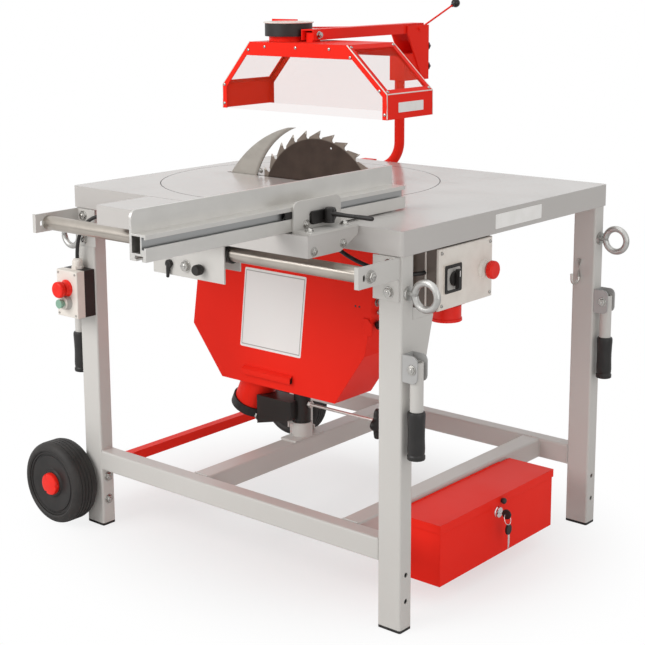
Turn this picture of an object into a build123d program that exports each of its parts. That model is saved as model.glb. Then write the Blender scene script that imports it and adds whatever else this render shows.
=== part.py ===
from build123d import *
import math
import os

# A site table saw: a turntable with blade, housing and motor hangs in a steel table on four legs.
# Millimetres, +Z up. Places are counted from the floor under the table's front left corner, and
# the whole saw is then moved so that the origin lies on the floor under the middle of its box.

# Table
table_length = 1000.0
table_depth = 820.0
table_height = 860.0
table_plate = 6.0
table_corner = 8.0
skirt_height = 52.0
skirt_sheet = 4.0

# Legs and beams
leg_length = 60.0
leg_width = 40.0
leg_wall = 3.0
leg_corner = 5.0
gusset_reach = 68.0
gusset_low = 400.0
gusset_high = 672.0
cap_height = 6.0
cap_plug = 20.0
push_clearance = 0.15
leg_hole_radius = 5.5
leg_hole_low = 67.0
leg_hole_high = 126.0
beam_height = 50.0
beam_width = 40.0
beam_wall = 3.0
beam_below_housing = 135.0
cross_beam_width = 50.0
right_beam_inset = 166.0

# Turntable
pivot_x = 375.0
disc_radius = 345.0
disc_seam = 1.0
ring_ledge = 25.0
ring_width = 45.0
ring_sheet = 5.0
slot_knife_room = 12.0
slot_blade_room = 9.5
slot_width = 14.0

# Pivot under the turntable
running_clearance = 0.08
socket_base = 5.0
socket_base_length = 110.0
socket_radius = 26.0
socket_height = 35.0
pin_radius = 15.0
pin_height = 62.0
sleeve_radius = 22.0
sleeve_gap = 0.5
sleeve_plate = 6.0
sleeve_plate_length = 110.0
sleeve_plate_width = 90.0
brace_height = 47.0
brace_end_height = 76.0
brace_ahead = 45.0
brace_behind = 15.0
brace_drop = 37.0
brace_end_gap = 24.0
back_plate_width = 88.0
back_plate_height = 13.0
back_plate_sheet = 5.0
back_plate_offset = 45.0

# Turntable lock
lock_below_housing = 46.0
lock_rod_radius = 4.0
lock_rod_reach = 245.0
lock_knob_radius = 43.0
lock_knob_width = 20.0
lock_knob_lobes = 6

# Blade housing: reaches to the left and right of the blade's axis, drops below the table plate
housing_sheet = 3.0
housing_half_depth = 70.0
housing_flange = 15.0
housing_height = 521.0
housing_top_left_reach = 343.0
housing_edge_left_reach = 355.0
housing_edge_left_drop = 278.0
housing_most_left_reach = 372.0
housing_most_left_drop = 393.0
housing_floor_left_reach = 271.0
housing_floor_right_reach = 110.0
housing_low_right_reach = 201.0
housing_low_right_drop = 388.0
housing_edge_right_reach = 223.0
housing_edge_right_drop = 285.0
housing_top_right_reach = 229.0

# Dust outlet under the housing
outlet_left_of_blade = 196.0
outlet_radius = 47.5
outlet_wall = 3.0
outlet_tilt = 25.0
outlet_length = 85.0
outlet_rim_radius = 52.5
outlet_rim_width = 24.0

# Blade, arbor and motor
blade_right_of_pivot = 56.0
blade_drop = 73.0
blade_radius = 200.0
blade_plate = 2.6
blade_teeth = 28
tooth_height = 20.0
first_tooth_angle = 10.4
relief_hole_radius = 2.8
relief_hole_circle = 165.0
relief_holes = 4
arbor_radius = 15.0
arbor_depth = 42.0
arbor_end_room = 2.0
flange_radius = 50.0
flange_width = 8.0
nut_across = 46.0
nut_width = 15.0
arbor_hole_radius = 32.0
motor_width = 190.0
motor_height = 116.0
motor_length = 180.0
motor_corner = 40.0
fan_cover_length = 78.0
fan_cover_inset = 6.0

# Riving knife
knife_plate = 3.0
knife_gap = 14.0
knife_base_width = 90.0
knife_bulge_width = 50.0
knife_bulge_angle = 148.2
knife_top_width = 8.2
knife_top_angle = 115.5
knife_tip_angle = 109.0
knife_tail_width = 50.0
knife_tail_depth = 165.0
knife_block_height = 60.0

# Guard hood: reaches to the left and right of the blade's axis
hood_left_reach = 249.0
hood_right_reach = 269.0
hood_top_left_reach = 156.0
hood_top_right_reach = 151.0
hood_ahead = 72.0
hood_width = 176.0
hood_rise = 174.0
hood_height = 166.0
hood_end_height = 58.0
hood_sheet = 2.0
hood_strip = 14.0
hood_top_strip = 33.0
pane_sheet = 3.0
pane_lap = 7.0
pane_clearance = 0.3
port_left_of_blade = 105.0
port_behind = 16.0
port_radius = 48.5
port_wall = 3.0
port_height = 43.0
collar_radius = 58.5
collar_lift = 12.0
collar_height = 33.0

# Guard arm, lever and bracket on the post
arm_pin_left_of_blade = 70.0
arm_pin_behind_table = 60.0
arm_pin_rise = 16.0
arm_end_left_of_blade = 22.0
arm_end_ahead = 10.0
arm_width = 36.0
arm_height = 26.0
arm_sheet = 3.0
arm_tail = 36.0
arm_lift = 4.0
arm_pin_radius = 5.0
prong_width = 30.0
prong_start_behind = 190.0
prong_left_of_blade = 231.0
prong_behind = 97.0
prong_lip_height = 46.0
prong_lip_length = 85.0
lug_width = 20.0
lug_length = 30.0
lug_height = 22.0
lug_behind = 15.0
lug_bolt_radius = 4.0
lug_bolt_end = 1.5
lever_radius = 2.5
lever_reach = 214.0
lever_rise = 63.0
lever_start_below = 6.0
ball_radius = 12.5
bracket_gap = 49.0
bracket_sheet = 4.0
bracket_ahead = 51.0
bracket_behind = 44.0
bracket_below = 136.0
bracket_above = 9.0
bracket_lip_below = 10.0
bracket_back_below = 34.0
bracket_block_below = 66.0

# Post behind the table
post_radius = 13.5
post_wall = 3.0
post_left_of_pin = 4.0
post_behind = 18.0
post_run_drop = 20.0
post_bend = 75.0
post_run_length = 237.0
clamp_length = 40.0
clamp_margin = 4.5
clamp_reaches = (207.0, 112.0)

# Guide rail and its brackets
rail_radius = 16.85
rail_wall = 3.0
rail_ahead = 91.0
rail_drop = 77.0
rail_bracket_sheet = 4.0
rail_bracket_below = 21.0
rail_bracket_above = 23.0
rail_bracket_reach = 128.0
rail_bracket_lip = 7.0
rail_bracket_inset = 9.0
rail_flange_below = 68.0
rail_flange_width = 62.0
rail_slot_ahead = 20.0
rail_slot_width = 8.0
rail_slot_height = 13.0

# Sliding support table on the rail
carriage_right_gap = 110.0
carriage_length = 620.0
carriage_depth = 157.0
carriage_gap = 3.0
carriage_skirt = 44.0
carriage_sheet = 3.0
carriage_cut_length = 57.0
carriage_cut_height = 29.0
saddle_from_left = 134.0
saddle_length = 216.0
saddle_sheet = 4.0
saddle_clear = 5.15
saddle_lift = 0.5
saddle_front_below = 63.0
saddle_back_below = 43.0
saddle_bolt_from_left = 102.0
saddle_control_below = 38.0
knob_from_left = 151.0
knob_radius = 11.5
knob_width = 21.0
knob_gap = 2.0
spindle_radius = 4.0
spindle_reach = 12.0
lever_from_left = 53.0
lever_width = 14.0
lever_sheet = 6.0
lever_length = 30.0
lever_gap = 0.4

# Fence
fence_from_right = 91.0
fence_width = 42.0
fence_fin = 6.0
fence_height = 90.0
fence_box_height = 49.0
fence_slot_rise = 33.0
fence_wall = 4.0
fence_front = -540.0
fence_length = 760.0
fence_lift = 3.0
fence_clearance = 0.3
fence_corner = 14.0
slot_mouth = 15.0
slot_cavity = 22.0
slot_depth = 6.0
slot_room = 1.0
holder_sheet = 4.0
holder_height = 62.0
holder_corner = 16.0
holder_front = -150.0
holder_length = 146.0
cam_y = -60.0
cam_rise = 15.0
cam_shelf = 6.0
cam_shelf_width = 20.0
cam_offset = 17.0
cam_pin_radius = 5.0
cam_hub_radius = 11.0
cam_hub_height = 20.0
cam_lift = 0.3
cam_lever_length = 112.0
cam_lever_radius = 5.0
cam_grip_radius = 8.0
cam_grip_length = 46.0

# Wheels
wheel_radius = 104.0
wheel_width = 72.0
wheel_hub_radius = 84.0
wheel_hub_inset = 5.0
wheel_cap_radius = 28.0
wheel_cap_height = 12.0
wheel_cap_edge = 4.0
wheel_edge = 18.0
wheel_gap = 2.0
axle_behind = 48.0
axle_z = 108.0
axle_bar_size = 25.0
axle_radius = 10.0
axle_reach = 48.0
wheel_bracket_plate = 6.0
wheel_bracket_web = 5.0
wheel_bracket_margin = 8.0
wheel_bracket_low = 50.0
wheel_bracket_high = 146.0

# Lifting eyes and carrying handles on the leg ends
eye_drop = 130.0
eye_reach = 45.0
eye_outer = 35.0
eye_section = 6.0
eye_collar_radius = 15.0
eye_collar_width = 6.0
handle_drop = 282.0
handle_reach = 24.0
handle_bracket_sheet = 3.0
handle_bracket_height = 58.0
handle_bracket_depth = 38.0
handle_radius = 14.0
handle_wall = 3.0
handle_side_gap = 1.0
handle_above = 14.0
handle_length = 193.0
handle_pin_radius = 5.0
handle_pin_end = 5.0
grip_radius = 19.0
grip_length = 103.0
grip_end = 3.0

# Switch box on the right
switch_front = 132.0
switch_width = 199.0
switch_drop = 189.0
switch_height = 132.0
switch_cover_depth = 6.0
switch_back_depth = 59.0
switch_wall = 3.0
switch_outset = 5.0
hanger_sheet = 4.0
hanger_margin = 11.0
dial_from_front = 45.5
dial_rise = 65.0
dial_plate = 60.0
dial_plate_sheet = 4.0
dial_radius = 22.0
dial_depth = 8.0
dial_bar_width = 12.0
dial_bar_depth = 18.0
dial_lift = 0.4
dial_shaft_radius = 5.0
dial_shaft_reach = 8.0
inlet_inset = 45.0
inlet_from_front = 91.0
inlet_radius = 33.0
inlet_bore = 27.0
inlet_length = 40.0
inlet_flange = 58.0

# Push buttons
mushroom_radius = 20.0
mushroom_height = 12.0
mushroom_edge = 5.0
collar_ring_radius = 16.0
collar_ring_height = 14.0
stem_radius = 8.0
stem_reach = 12.0
button_travel = 5.0
button_clear = 1.0
button_radius = 11.0
button_height = 7.0
stop_from_front = 164.0
stop_rise = 66.0

# Button box on the left front leg
station_left = -13.0
station_width = 75.0
station_drop = 315.0
station_height = 115.0
station_back_depth = 32.0
station_cover_depth = 24.0
station_wall = 3.0
station_stop_rise = 72.0
station_start_rise = 37.0
gland_radius = 11.0
gland_height = 24.0
gland_behind = 20.0

# Control cable and cable hook
cable_radius = 4.5
cable_rise = 51.0
cable_below_skirt = 11.0
cable_above_skirt = 17.0
cable_inset = 32.0
cable_run_start = 165.0
cable_run_gap = 240.0
cable_sag_reach = 72.0
cable_sag = 31.0
cable_turn_reach = 30.0
hook_inset = 40.0
hook_drop = 183.0
hook_height = 68.0
hook_wire = 3.5
hook_reach = 40.0
hook_plate = 3.0

# Tool box
box_front = 163.0
box_length = 463.0
box_low = 46.0
box_below_beam = 10.0
box_depth = 131.0
box_sheet = 2.0
lid_lip = 19.0
lid_clearance = 0.5
lid_pin_radius = 1.5
lid_knuckle_radius = 3.0
lid_knuckle_room = 0.4
lid_knuckle_margin = 40.0
lid_knuckles = 5
box_lock_from_front = 225.0
box_lock_below_top = 36.0
box_lock_radius = 11.0
box_lock_height = 6.5
key_radius = 2.2
key_hole_clearance = 0.1
key_reach = 9.0
key_bow_radius = 11.0
key_bow_sheet = 4.0

# Hexagon bolt heads
bolt_across = 17.0
bolt_head = 7.0

# Rounded edges of small turned pieces
knob_edge = 2.0
grip_edge = 3.0

# How far a cut starts outside the face that it goes into
cut_over = 1.0

# Places that follow from the sizes
table_middle = table_depth / 2
plate_under = table_height - table_plate
skirt_bottom = table_height - skirt_height
leg_left = skirt_sheet
leg_right = table_length - skirt_sheet
leg_front = skirt_sheet
leg_rear = table_depth - skirt_sheet

pivot_y = table_middle
blade_x = pivot_x + blade_right_of_pivot
blade_z = table_height - blade_drop
housing_front = pivot_y - housing_half_depth
housing_back = pivot_y + housing_half_depth
cover_back = housing_back + housing_sheet
housing_bottom = plate_under - housing_height
housing_left_top = blade_x - housing_top_left_reach
housing_left_edge = blade_x - housing_edge_left_reach
housing_left_edge_z = plate_under - housing_edge_left_drop
housing_left_most = blade_x - housing_most_left_reach
housing_left_most_z = plate_under - housing_most_left_drop
housing_bottom_left = blade_x - housing_floor_left_reach
housing_bottom_right = blade_x + housing_floor_right_reach
housing_right_low = blade_x + housing_low_right_reach
housing_right_low_z = plate_under - housing_low_right_drop
housing_right_edge = blade_x + housing_edge_right_reach
housing_right_edge_z = plate_under - housing_edge_right_drop
housing_right_top = blade_x + housing_top_right_reach
outlet_x = blade_x - outlet_left_of_blade
beam_top = housing_bottom - beam_below_housing
right_beam_x = leg_right - right_beam_inset
socket_top = beam_top + socket_base + socket_height
pin_top = socket_top + pin_height
lock_height = housing_bottom - lock_below_housing

knife_inner = blade_radius + knife_gap
knife_base_right = blade_x - math.sqrt(knife_inner ** 2 - blade_drop ** 2)
knife_base_left = knife_base_right - knife_base_width
slot_left = knife_base_left - slot_knife_room
slot_right = blade_x + math.sqrt(blade_radius ** 2 - (plate_under - blade_z) ** 2) + slot_blade_room

hood_left = blade_x - hood_left_reach
hood_right = blade_x + hood_right_reach
hood_top_left = blade_x - hood_top_left_reach
hood_top_right = blade_x + hood_top_right_reach
hood_front = pivot_y - hood_ahead
hood_bottom = table_height + hood_rise
hood_top = hood_bottom + hood_height
port_x = blade_x - port_left_of_blade
port_y = pivot_y + port_behind
arm_pivot_x = blade_x - arm_pin_left_of_blade
arm_pivot_y = table_depth + arm_pin_behind_table
arm_pivot_z = hood_top + arm_pin_rise
arm_bottom = hood_top + arm_lift
arm_end_x = blade_x - arm_end_left_of_blade
arm_end_y = pivot_y - arm_end_ahead
prong_start_y = pivot_y + prong_start_behind
prong_end_x = blade_x - prong_left_of_blade
prong_y = pivot_y + prong_behind
lug_y = pivot_y + lug_behind
lever_end_y = arm_pivot_y + lever_reach
lever_end_z = arm_pivot_z + lever_rise
bracket_front = arm_pivot_y - bracket_ahead
bracket_back = arm_pivot_y + bracket_behind
bracket_low = arm_pivot_z - bracket_below
bracket_high = arm_pivot_z + bracket_above
bracket_lip = arm_pivot_z - bracket_lip_below
bracket_back_top = arm_pivot_z - bracket_back_below
bracket_block_top = arm_pivot_z - bracket_block_below
post_x = arm_pivot_x - post_left_of_pin
post_y = table_depth + post_behind
post_run_z = table_height - post_run_drop

rail_y = -rail_ahead
rail_z = table_height - rail_drop
rail_bracket_low = rail_z - rail_bracket_below
rail_bracket_high = rail_z + rail_bracket_above
rail_flange_low = rail_z - rail_flange_below
carriage_back = -carriage_gap
carriage_front = carriage_back - carriage_depth
carriage_right = table_length - carriage_right_gap
carriage_left = carriage_right - carriage_length
saddle_left = carriage_left + saddle_from_left
saddle_right = saddle_left + saddle_length
saddle_front_low = rail_z - saddle_front_below
saddle_back_low = rail_z - saddle_back_below
saddle_control_z = rail_z - saddle_control_below
saddle_bolt_x = saddle_left + saddle_bolt_from_left
knob_x = saddle_left + knob_from_left
lever_x = saddle_left + lever_from_left
fence_left = carriage_right - fence_from_right
fence_right = fence_left + fence_width
fence_low = table_height + fence_lift
fence_slot_z = fence_low + fence_slot_rise
cam_seat = fence_low + cam_rise

axle_x = leg_left - axle_behind
eye_z = table_height - eye_drop
handle_z = table_height - handle_drop
switch_face = table_length - switch_outset
switch_split = switch_face - switch_cover_depth
switch_back = switch_split - switch_back_depth
switch_low = table_height - switch_drop
dial_y = switch_front + dial_from_front
dial_z = switch_low + dial_rise
inlet_x = switch_face - inlet_inset
inlet_y = switch_front + inlet_from_front
stop_right_y = switch_front + stop_from_front
stop_right_z = switch_low + stop_rise
station_split = leg_front - station_back_depth
station_face = station_split - station_cover_depth
station_button_x = station_left + station_width / 2
station_low = table_height - station_drop
stop_left_z = station_low + station_stop_rise
start_z = station_low + station_start_rise
hook_x = leg_right - hook_inset
hook_high = table_height - hook_drop
hook_low = hook_high - hook_height

box_left = right_beam_x + cross_beam_width / 2
box_top = beam_top - box_below_beam
box_lock_y = box_front + box_lock_from_front
box_lock_z = box_top - box_lock_below_top
lid_right = box_left + box_depth
lid_pin_x = box_left + 2 * box_sheet
lid_pin_z = box_top - box_sheet / 2

# Middle of the saw's box: from wheel to lifting eye, and from the fence's end to the guard lever's ball
origin_from_left = (axle_x - wheel_radius + leg_right + eye_reach + eye_outer) / 2
origin_from_front = (fence_front + lever_end_y + ball_radius) / 2


def block(x, y, z):
    """A box between a low and a high place along each axis."""
    middle = Pos((x[0] + x[1]) / 2, (y[0] + y[1]) / 2, (z[0] + z[1]) / 2)
    return middle * Box(x[1] - x[0], y[1] - y[0], z[1] - z[0])


def past(low, high):
    """The reach of a cut that goes right through, from outside one face to outside the other."""
    return (low - cut_over, high + cut_over)


def rod_x(x, y, z, radius):
    return Pos((x[0] + x[1]) / 2, y, z) * Rot(0, 90, 0) * Cylinder(radius, x[1] - x[0])


def rod_y(x, y, z, radius):
    return Pos(x, (y[0] + y[1]) / 2, z) * Rot(90, 0, 0) * Cylinder(radius, y[1] - y[0])


def rod_z(x, y, z, radius):
    return Pos(x, y, (z[0] + z[1]) / 2) * Cylinder(radius, z[1] - z[0])


def outline(points):
    return make_face(Polyline(*points, close=True))


def prism_x(sketch, x):
    """A sketch in Y and Z, drawn out along X."""
    plane = Plane((x[0], 0, 0), x_dir=(0, 1, 0), z_dir=(1, 0, 0))
    return extrude(plane * sketch, amount=x[1] - x[0])


def prism_y(sketch, y):
    """A sketch in X and Z, drawn out along Y."""
    plane = Plane((0, y[1], 0), x_dir=(1, 0, 0), z_dir=(0, -1, 0))
    return extrude(plane * sketch, amount=y[1] - y[0])


def prism_z(sketch, z):
    """A sketch in X and Y, drawn out along Z."""
    return extrude(Plane((0, 0, z[0])) * sketch, amount=z[1] - z[0])


def tube_section(width, depth, wall, corner):
    inner = RectangleRounded(width - 2 * wall, depth - 2 * wall, max(corner - wall, 0.5))
    return RectangleRounded(width, depth, corner) - inner


def hexagon(across):
    return RegularPolygon(across / 2, 6, major_radius=False)


def bolt_head_x(x, y, z, toward):
    """A hexagon head that stands on a face square to X, toward +1 or -1."""
    base = Plane((x, y, z), x_dir=(0, 1, 0), z_dir=(toward, 0, 0))
    return extrude(base * hexagon(bolt_across), amount=bolt_head)


def bolt_head_y(x, y, z, toward):
    """A hexagon head that stands on a face square to Y, toward +1 or -1."""
    base = Plane((x, y, z), x_dir=(1, 0, 0), z_dir=(0, toward, 0))
    return extrude(base * hexagon(bolt_across), amount=bolt_head)


def save(name, *shapes):
    """One file per named piece, with its solids kept apart."""
    solids = [solid for shape in shapes for solid in shape.solids()]
    placed = [Pos(-origin_from_left, -origin_from_front, 0) * solid for solid in solids]
    export_step(Compound(children=placed), os.path.join("parts", name + ".step"))


# Table, legs and beams
def table_top():
    rounded = RectangleRounded(table_length, table_depth, table_corner)
    middle = Pos(table_length / 2, table_middle, 0)
    inner = Rectangle(table_length - 2 * skirt_sheet, table_depth - 2 * skirt_sheet)
    body = prism_z(middle * rounded, (skirt_bottom, table_height))
    body -= prism_z(middle * inner, (skirt_bottom - cut_over, plate_under))
    body -= rod_z(pivot_x, pivot_y, past(plate_under, table_height), disc_radius)
    ring_outer = disc_radius - ring_ledge + ring_width
    ring = rod_z(pivot_x, pivot_y, (plate_under - ring_sheet, plate_under), ring_outer)
    inside = disc_radius - ring_ledge
    ring -= rod_z(pivot_x, pivot_y, past(plate_under - ring_sheet, plate_under), inside)
    return body + ring


def leg_places():
    """Centre of each leg, and the way its outer end faces: front left, front right, rear left, rear right."""
    for toward, x in ((-1, leg_left + leg_length / 2), (1, leg_right - leg_length / 2)):
        for y in (leg_front + leg_width / 2, leg_rear - leg_width / 2):
            yield toward, x, y


def leg_gusset(face, back):
    """A tapered plate that widens the front right leg toward the table."""
    inside = back - leg_corner
    plate = outline([(inside, gusset_low), (back + gusset_reach, gusset_high), (inside, gusset_high)])
    return prism_x(plate, (face - leg_wall, face))


def legs():
    section = tube_section(leg_length, leg_width, leg_wall, leg_corner)
    for toward, x, y in leg_places():
        leg = Pos(x, y, cap_height) * extrude(section, amount=plate_under - cap_height)
        face = x + toward * leg_length / 2
        for z in (leg_hole_low, leg_hole_high):
            leg -= rod_x(past(face - leg_wall, face + leg_wall), y, z, leg_hole_radius)
        if toward > 0 and y < pivot_y:
            leg += leg_gusset(face, y + leg_width / 2)
        yield leg


def leg_caps():
    rim = RectangleRounded(leg_length, leg_width, leg_corner)
    inside = 2 * (leg_wall + push_clearance)
    plug = RectangleRounded(leg_length - inside, leg_width - inside, max(leg_corner - leg_wall, 0.5))
    for toward, x, y in leg_places():
        yield Pos(x, y, 0) * (extrude(rim, amount=cap_height) + extrude(plug, amount=cap_height + cap_plug))


def long_beams():
    section = tube_section(beam_height, beam_width, beam_wall, leg_corner)
    length = leg_right - leg_left - 2 * leg_length
    for y in (leg_front + leg_width / 2, leg_rear - leg_width / 2):
        start = Pos(leg_left + leg_length, y, beam_top - beam_height / 2)
        yield start * Rot(0, 90, 0) * extrude(section, amount=length)


def cross_beams():
    section = tube_section(cross_beam_width, beam_height, beam_wall, leg_corner)
    front = leg_front + leg_width / 2 + beam_width / 2
    back = leg_rear - leg_width / 2 - beam_width / 2
    for x in (pivot_x, right_beam_x):
        start = Pos(x, front, beam_top - beam_height / 2)
        yield start * Rot(-90, 0, 0) * extrude(section, amount=back - front)


# Pivot, lock, housing and drive
def pivot_socket():
    base_top = beam_top + socket_base
    half = cross_beam_width / 2
    y = (pivot_y - socket_base_length / 2, pivot_y + socket_base_length / 2)
    socket = block((pivot_x - half, pivot_x + half), y, (beam_top, base_top))
    socket += rod_z(pivot_x, pivot_y, (base_top, socket_top), socket_radius)
    socket += rod_z(pivot_x, pivot_y, (socket_top, pin_top), pin_radius)
    plate_y = pivot_y + back_plate_offset
    across = (pivot_x - back_plate_width, pivot_x)
    upright = (base_top, base_top + back_plate_height)
    return socket + block(across, (plate_y, plate_y + back_plate_sheet), upright)


def housing_outline():
    return outline([
        (housing_left_top, plate_under),
        (housing_left_edge, housing_left_edge_z),
        (housing_left_most, housing_left_most_z),
        (housing_bottom_left, housing_bottom),
        (housing_bottom_right, housing_bottom),
        (housing_right_low, housing_right_low_z),
        (housing_right_edge, housing_right_edge_z),
        (housing_right_top, plate_under),
    ])


def outlet_frame():
    """Places a shape that is drawn along Z on the outlet's axis, with Z = 0 at the housing's floor."""
    return Pos(outlet_x, pivot_y, housing_bottom) * Rot(0, outlet_tilt, 0)


def outlet_cylinder(radius, low, high):
    return outlet_frame() * rod_z(0, 0, (low, high), radius)


def blade_housing():
    walls = prism_y(housing_outline(), (housing_front, housing_back))
    hollow = offset(housing_outline(), amount=-housing_sheet)
    walls -= prism_y(hollow, (housing_front + housing_sheet, housing_back + cut_over))
    inside = (housing_left_top + housing_sheet, housing_right_top - housing_sheet)
    top = (plate_under - 3 * housing_sheet, plate_under + cut_over)
    walls -= block(inside, (housing_front + housing_sheet, housing_back + cut_over), top)
    edge = (plate_under - housing_sheet, plate_under)
    side = (housing_front - housing_flange, housing_back)
    walls += block((housing_left_top - housing_flange, housing_left_top + housing_sheet), side, edge)
    walls += block((housing_right_top - housing_sheet, housing_right_top + housing_flange), side, edge)
    front = (housing_front - housing_flange, housing_front + housing_sheet)
    walls += block((housing_left_top, housing_right_top), front, edge)
    return walls - outlet_cylinder(outlet_radius - outlet_wall, -outlet_length, outlet_length)


def housing_cover():
    cover = prism_y(housing_outline(), (housing_back, cover_back))
    cover -= rod_y(blade_x, past(housing_back, cover_back), blade_z, arbor_hole_radius)
    tail_low = table_height - knife_tail_depth
    tail = (knife_base_left, knife_base_left + knife_tail_width)
    seat = (pivot_y + knife_plate / 2, housing_back)
    return cover + block(tail, seat, (tail_low, tail_low + knife_block_height))


def pivot_sleeve():
    plate_low = housing_bottom - sleeve_plate
    half = (sleeve_plate_length / 2, sleeve_plate_width / 2)
    x = (pivot_x - half[0], pivot_x + half[0])
    sleeve = block(x, (pivot_y - half[1], pivot_y + half[1]), (plate_low, housing_bottom))
    sleeve += rod_z(pivot_x, pivot_y, (socket_top + sleeve_gap, plate_low), sleeve_radius)
    brace_top = housing_bottom - brace_drop
    far = outlet_x + brace_end_gap
    brace = prism_y(outline([
        (far, brace_top),
        (pivot_x, brace_top),
        (pivot_x, brace_top - brace_height),
        (far, brace_top - brace_end_height),
    ]), (pivot_y - brace_ahead, pivot_y + brace_behind))
    brace -= outlet_cylinder(outlet_rim_radius + push_clearance, -4 * outlet_length, outlet_length)
    brace = brace.solids().sort_by(Axis.X)[-1]
    sleeve += brace
    sleeve -= outlet_cylinder(outlet_radius + push_clearance, -outlet_length, outlet_length)
    bore_top = pin_top + 2 * sleeve_gap
    sleeve -= rod_z(pivot_x, pivot_y, (0, bore_top), pin_radius + running_clearance)
    thread = (pivot_x, pivot_x + 2 * sleeve_radius)
    return sleeve - rod_x(thread, pivot_y, lock_height, lock_rod_radius + running_clearance)


def lock_screw():
    start = pivot_x + pin_radius + sleeve_gap
    end = pivot_x + lock_rod_reach
    yield rod_x((start, end), pivot_y, lock_height, lock_rod_radius)
    star = Circle(0.7 * lock_knob_radius)
    lobe = 0.32 * lock_knob_radius
    star += PolarLocations(lock_knob_radius - lobe, lock_knob_lobes) * Circle(lobe)
    seat = Plane((end, pivot_y, lock_height), x_dir=(0, 1, 0), z_dir=(1, 0, 0))
    yield fillet_ends(extrude(seat * star, amount=lock_knob_width), Axis.X, knob_edge)


def fillet_ends(solid, axis, radius):
    """Rounds the edges of the two end faces square to an axis."""
    faces = solid.faces().filter_by(axis).sort_by(axis)
    return fillet(faces[0].edges() + faces[-1].edges(), radius)


def dust_outlet():
    pipe = outlet_cylinder(outlet_radius, -outlet_length, outlet_length)
    pipe -= outlet_cylinder(outlet_radius - outlet_wall, -outlet_length - cut_over, outlet_length + cut_over)
    pipe -= prism_y(housing_outline(), past(housing_front, cover_back))
    return pipe.solids().sort_by(Axis.Z)[0]


def dust_outlet_rim():
    low = -outlet_length - outlet_rim_width / 2
    rim = outlet_cylinder(outlet_rim_radius, low, low + outlet_rim_width)
    rim -= outlet_cylinder(outlet_radius + push_clearance, -outlet_length, 0)
    return rim - outlet_cylinder(outlet_radius - outlet_wall, low - cut_over, 0)


def turntable_disc():
    disc = rod_z(pivot_x, pivot_y, (plate_under, table_height), disc_radius - disc_seam)
    slot = SlotOverall(slot_right - slot_left, slot_width)
    middle = Pos((slot_left + slot_right) / 2, pivot_y)
    return disc - prism_z(middle * slot, past(plate_under, table_height))


def polar(radius, angle):
    return (radius * math.cos(angle), radius * math.sin(angle))


def blade_outline():
    """Hooked teeth that point to the right at the top, each with a long sloping back and a narrow gullet."""
    pitch = 2 * math.pi / blade_teeth
    edges = []
    for tooth in range(blade_teeth):
        tip = math.radians(first_tooth_angle) + tooth * pitch
        back = polar(blade_radius - 0.78 * tooth_height, tip + 0.80 * pitch)
        gullet = polar(blade_radius - tooth_height, tip + 0.94 * pitch)
        face = polar(blade_radius - 0.55 * tooth_height, tip + 1.05 * pitch)
        edges.append(Line(polar(blade_radius, tip), back))
        edges.append(ThreePointArc(back, gullet, face))
        edges.append(Line(face, polar(blade_radius, tip + pitch)))
    return make_face(edges)


def saw_blade():
    sketch = blade_outline() - Circle(arbor_radius + push_clearance)
    sketch -= PolarLocations(relief_hole_circle, relief_holes, start_angle=75) * Circle(relief_hole_radius)
    half = blade_plate / 2
    return prism_y(Pos(blade_x, blade_z) * sketch, (pivot_y - half, pivot_y + half))


def blade_arbor():
    half = blade_plate / 2
    nut_front = pivot_y - half - flange_width - nut_width
    shaft = (nut_front, cover_back + arbor_depth)
    yield rod_y(blade_x, shaft, blade_z, arbor_radius)
    bore = rod_y(blade_x, shaft, blade_z, arbor_radius + push_clearance)
    for y in (pivot_y - half - flange_width, pivot_y + half):
        yield rod_y(blade_x, (y, y + flange_width), blade_z, flange_radius) - bore
    yield prism_y(Pos(blade_x, blade_z) * hexagon(nut_across), (nut_front, nut_front + nut_width)) - bore


def drive_motor():
    body_back = cover_back + motor_length
    casing = Pos(blade_x, blade_z) * RectangleRounded(motor_width, motor_height, motor_corner)
    body = prism_y(casing, (cover_back, body_back))
    bore = (cover_back - cut_over, cover_back + arbor_depth + arbor_end_room)
    yield body - rod_y(blade_x, bore, blade_z, arbor_radius + running_clearance)
    small = (motor_width - 2 * fan_cover_inset, motor_height - 2 * fan_cover_inset)
    cover = Pos(blade_x, blade_z) * RectangleRounded(*small, motor_corner - fan_cover_inset)
    yield prism_y(cover, (body_back, body_back + fan_cover_length))


def round_blade(radius, degrees):
    """A point in X and Z at a radius from the blade's axis."""
    x, z = polar(radius, math.radians(degrees))
    return (blade_x + x, blade_z + z)


def riving_knife():
    """A curved blade guard: its inner edge follows the saw blade, its outer edge sweeps from table to tip."""
    base_angle = 180 - math.degrees(math.asin(blade_drop / knife_inner))
    tip = round_blade(knife_inner, knife_tip_angle)
    middle = round_blade(knife_inner, (knife_tip_angle + base_angle) / 2)
    top = round_blade(knife_inner + knife_top_width, knife_top_angle)
    bulge = round_blade(knife_inner + knife_bulge_width, knife_bulge_angle)
    tail_low = table_height - knife_tail_depth
    tail_right = knife_base_left + knife_tail_width
    edges = [
        ThreePointArc((knife_base_left, table_height), bulge, top),
        Line(top, tip),
        ThreePointArc(tip, middle, (knife_base_right, table_height)),
        Line((knife_base_right, table_height), (tail_right, plate_under - 2 * table_plate)),
        Line((tail_right, plate_under - 2 * table_plate), (tail_right, tail_low)),
        Line((tail_right, tail_low), (knife_base_left, tail_low)),
        Line((knife_base_left, tail_low), (knife_base_left, table_height)),
    ]
    half = knife_plate / 2
    return prism_y(make_face(edges), (pivot_y - half, pivot_y + half))


# Guard
def hood_outline():
    shoulder = hood_bottom + hood_end_height
    return outline([
        (hood_left, hood_bottom),
        (hood_right, hood_bottom),
        (hood_right, shoulder),
        (hood_top_right, hood_top),
        (hood_top_left, hood_top),
        (hood_left, shoulder),
    ])


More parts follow.
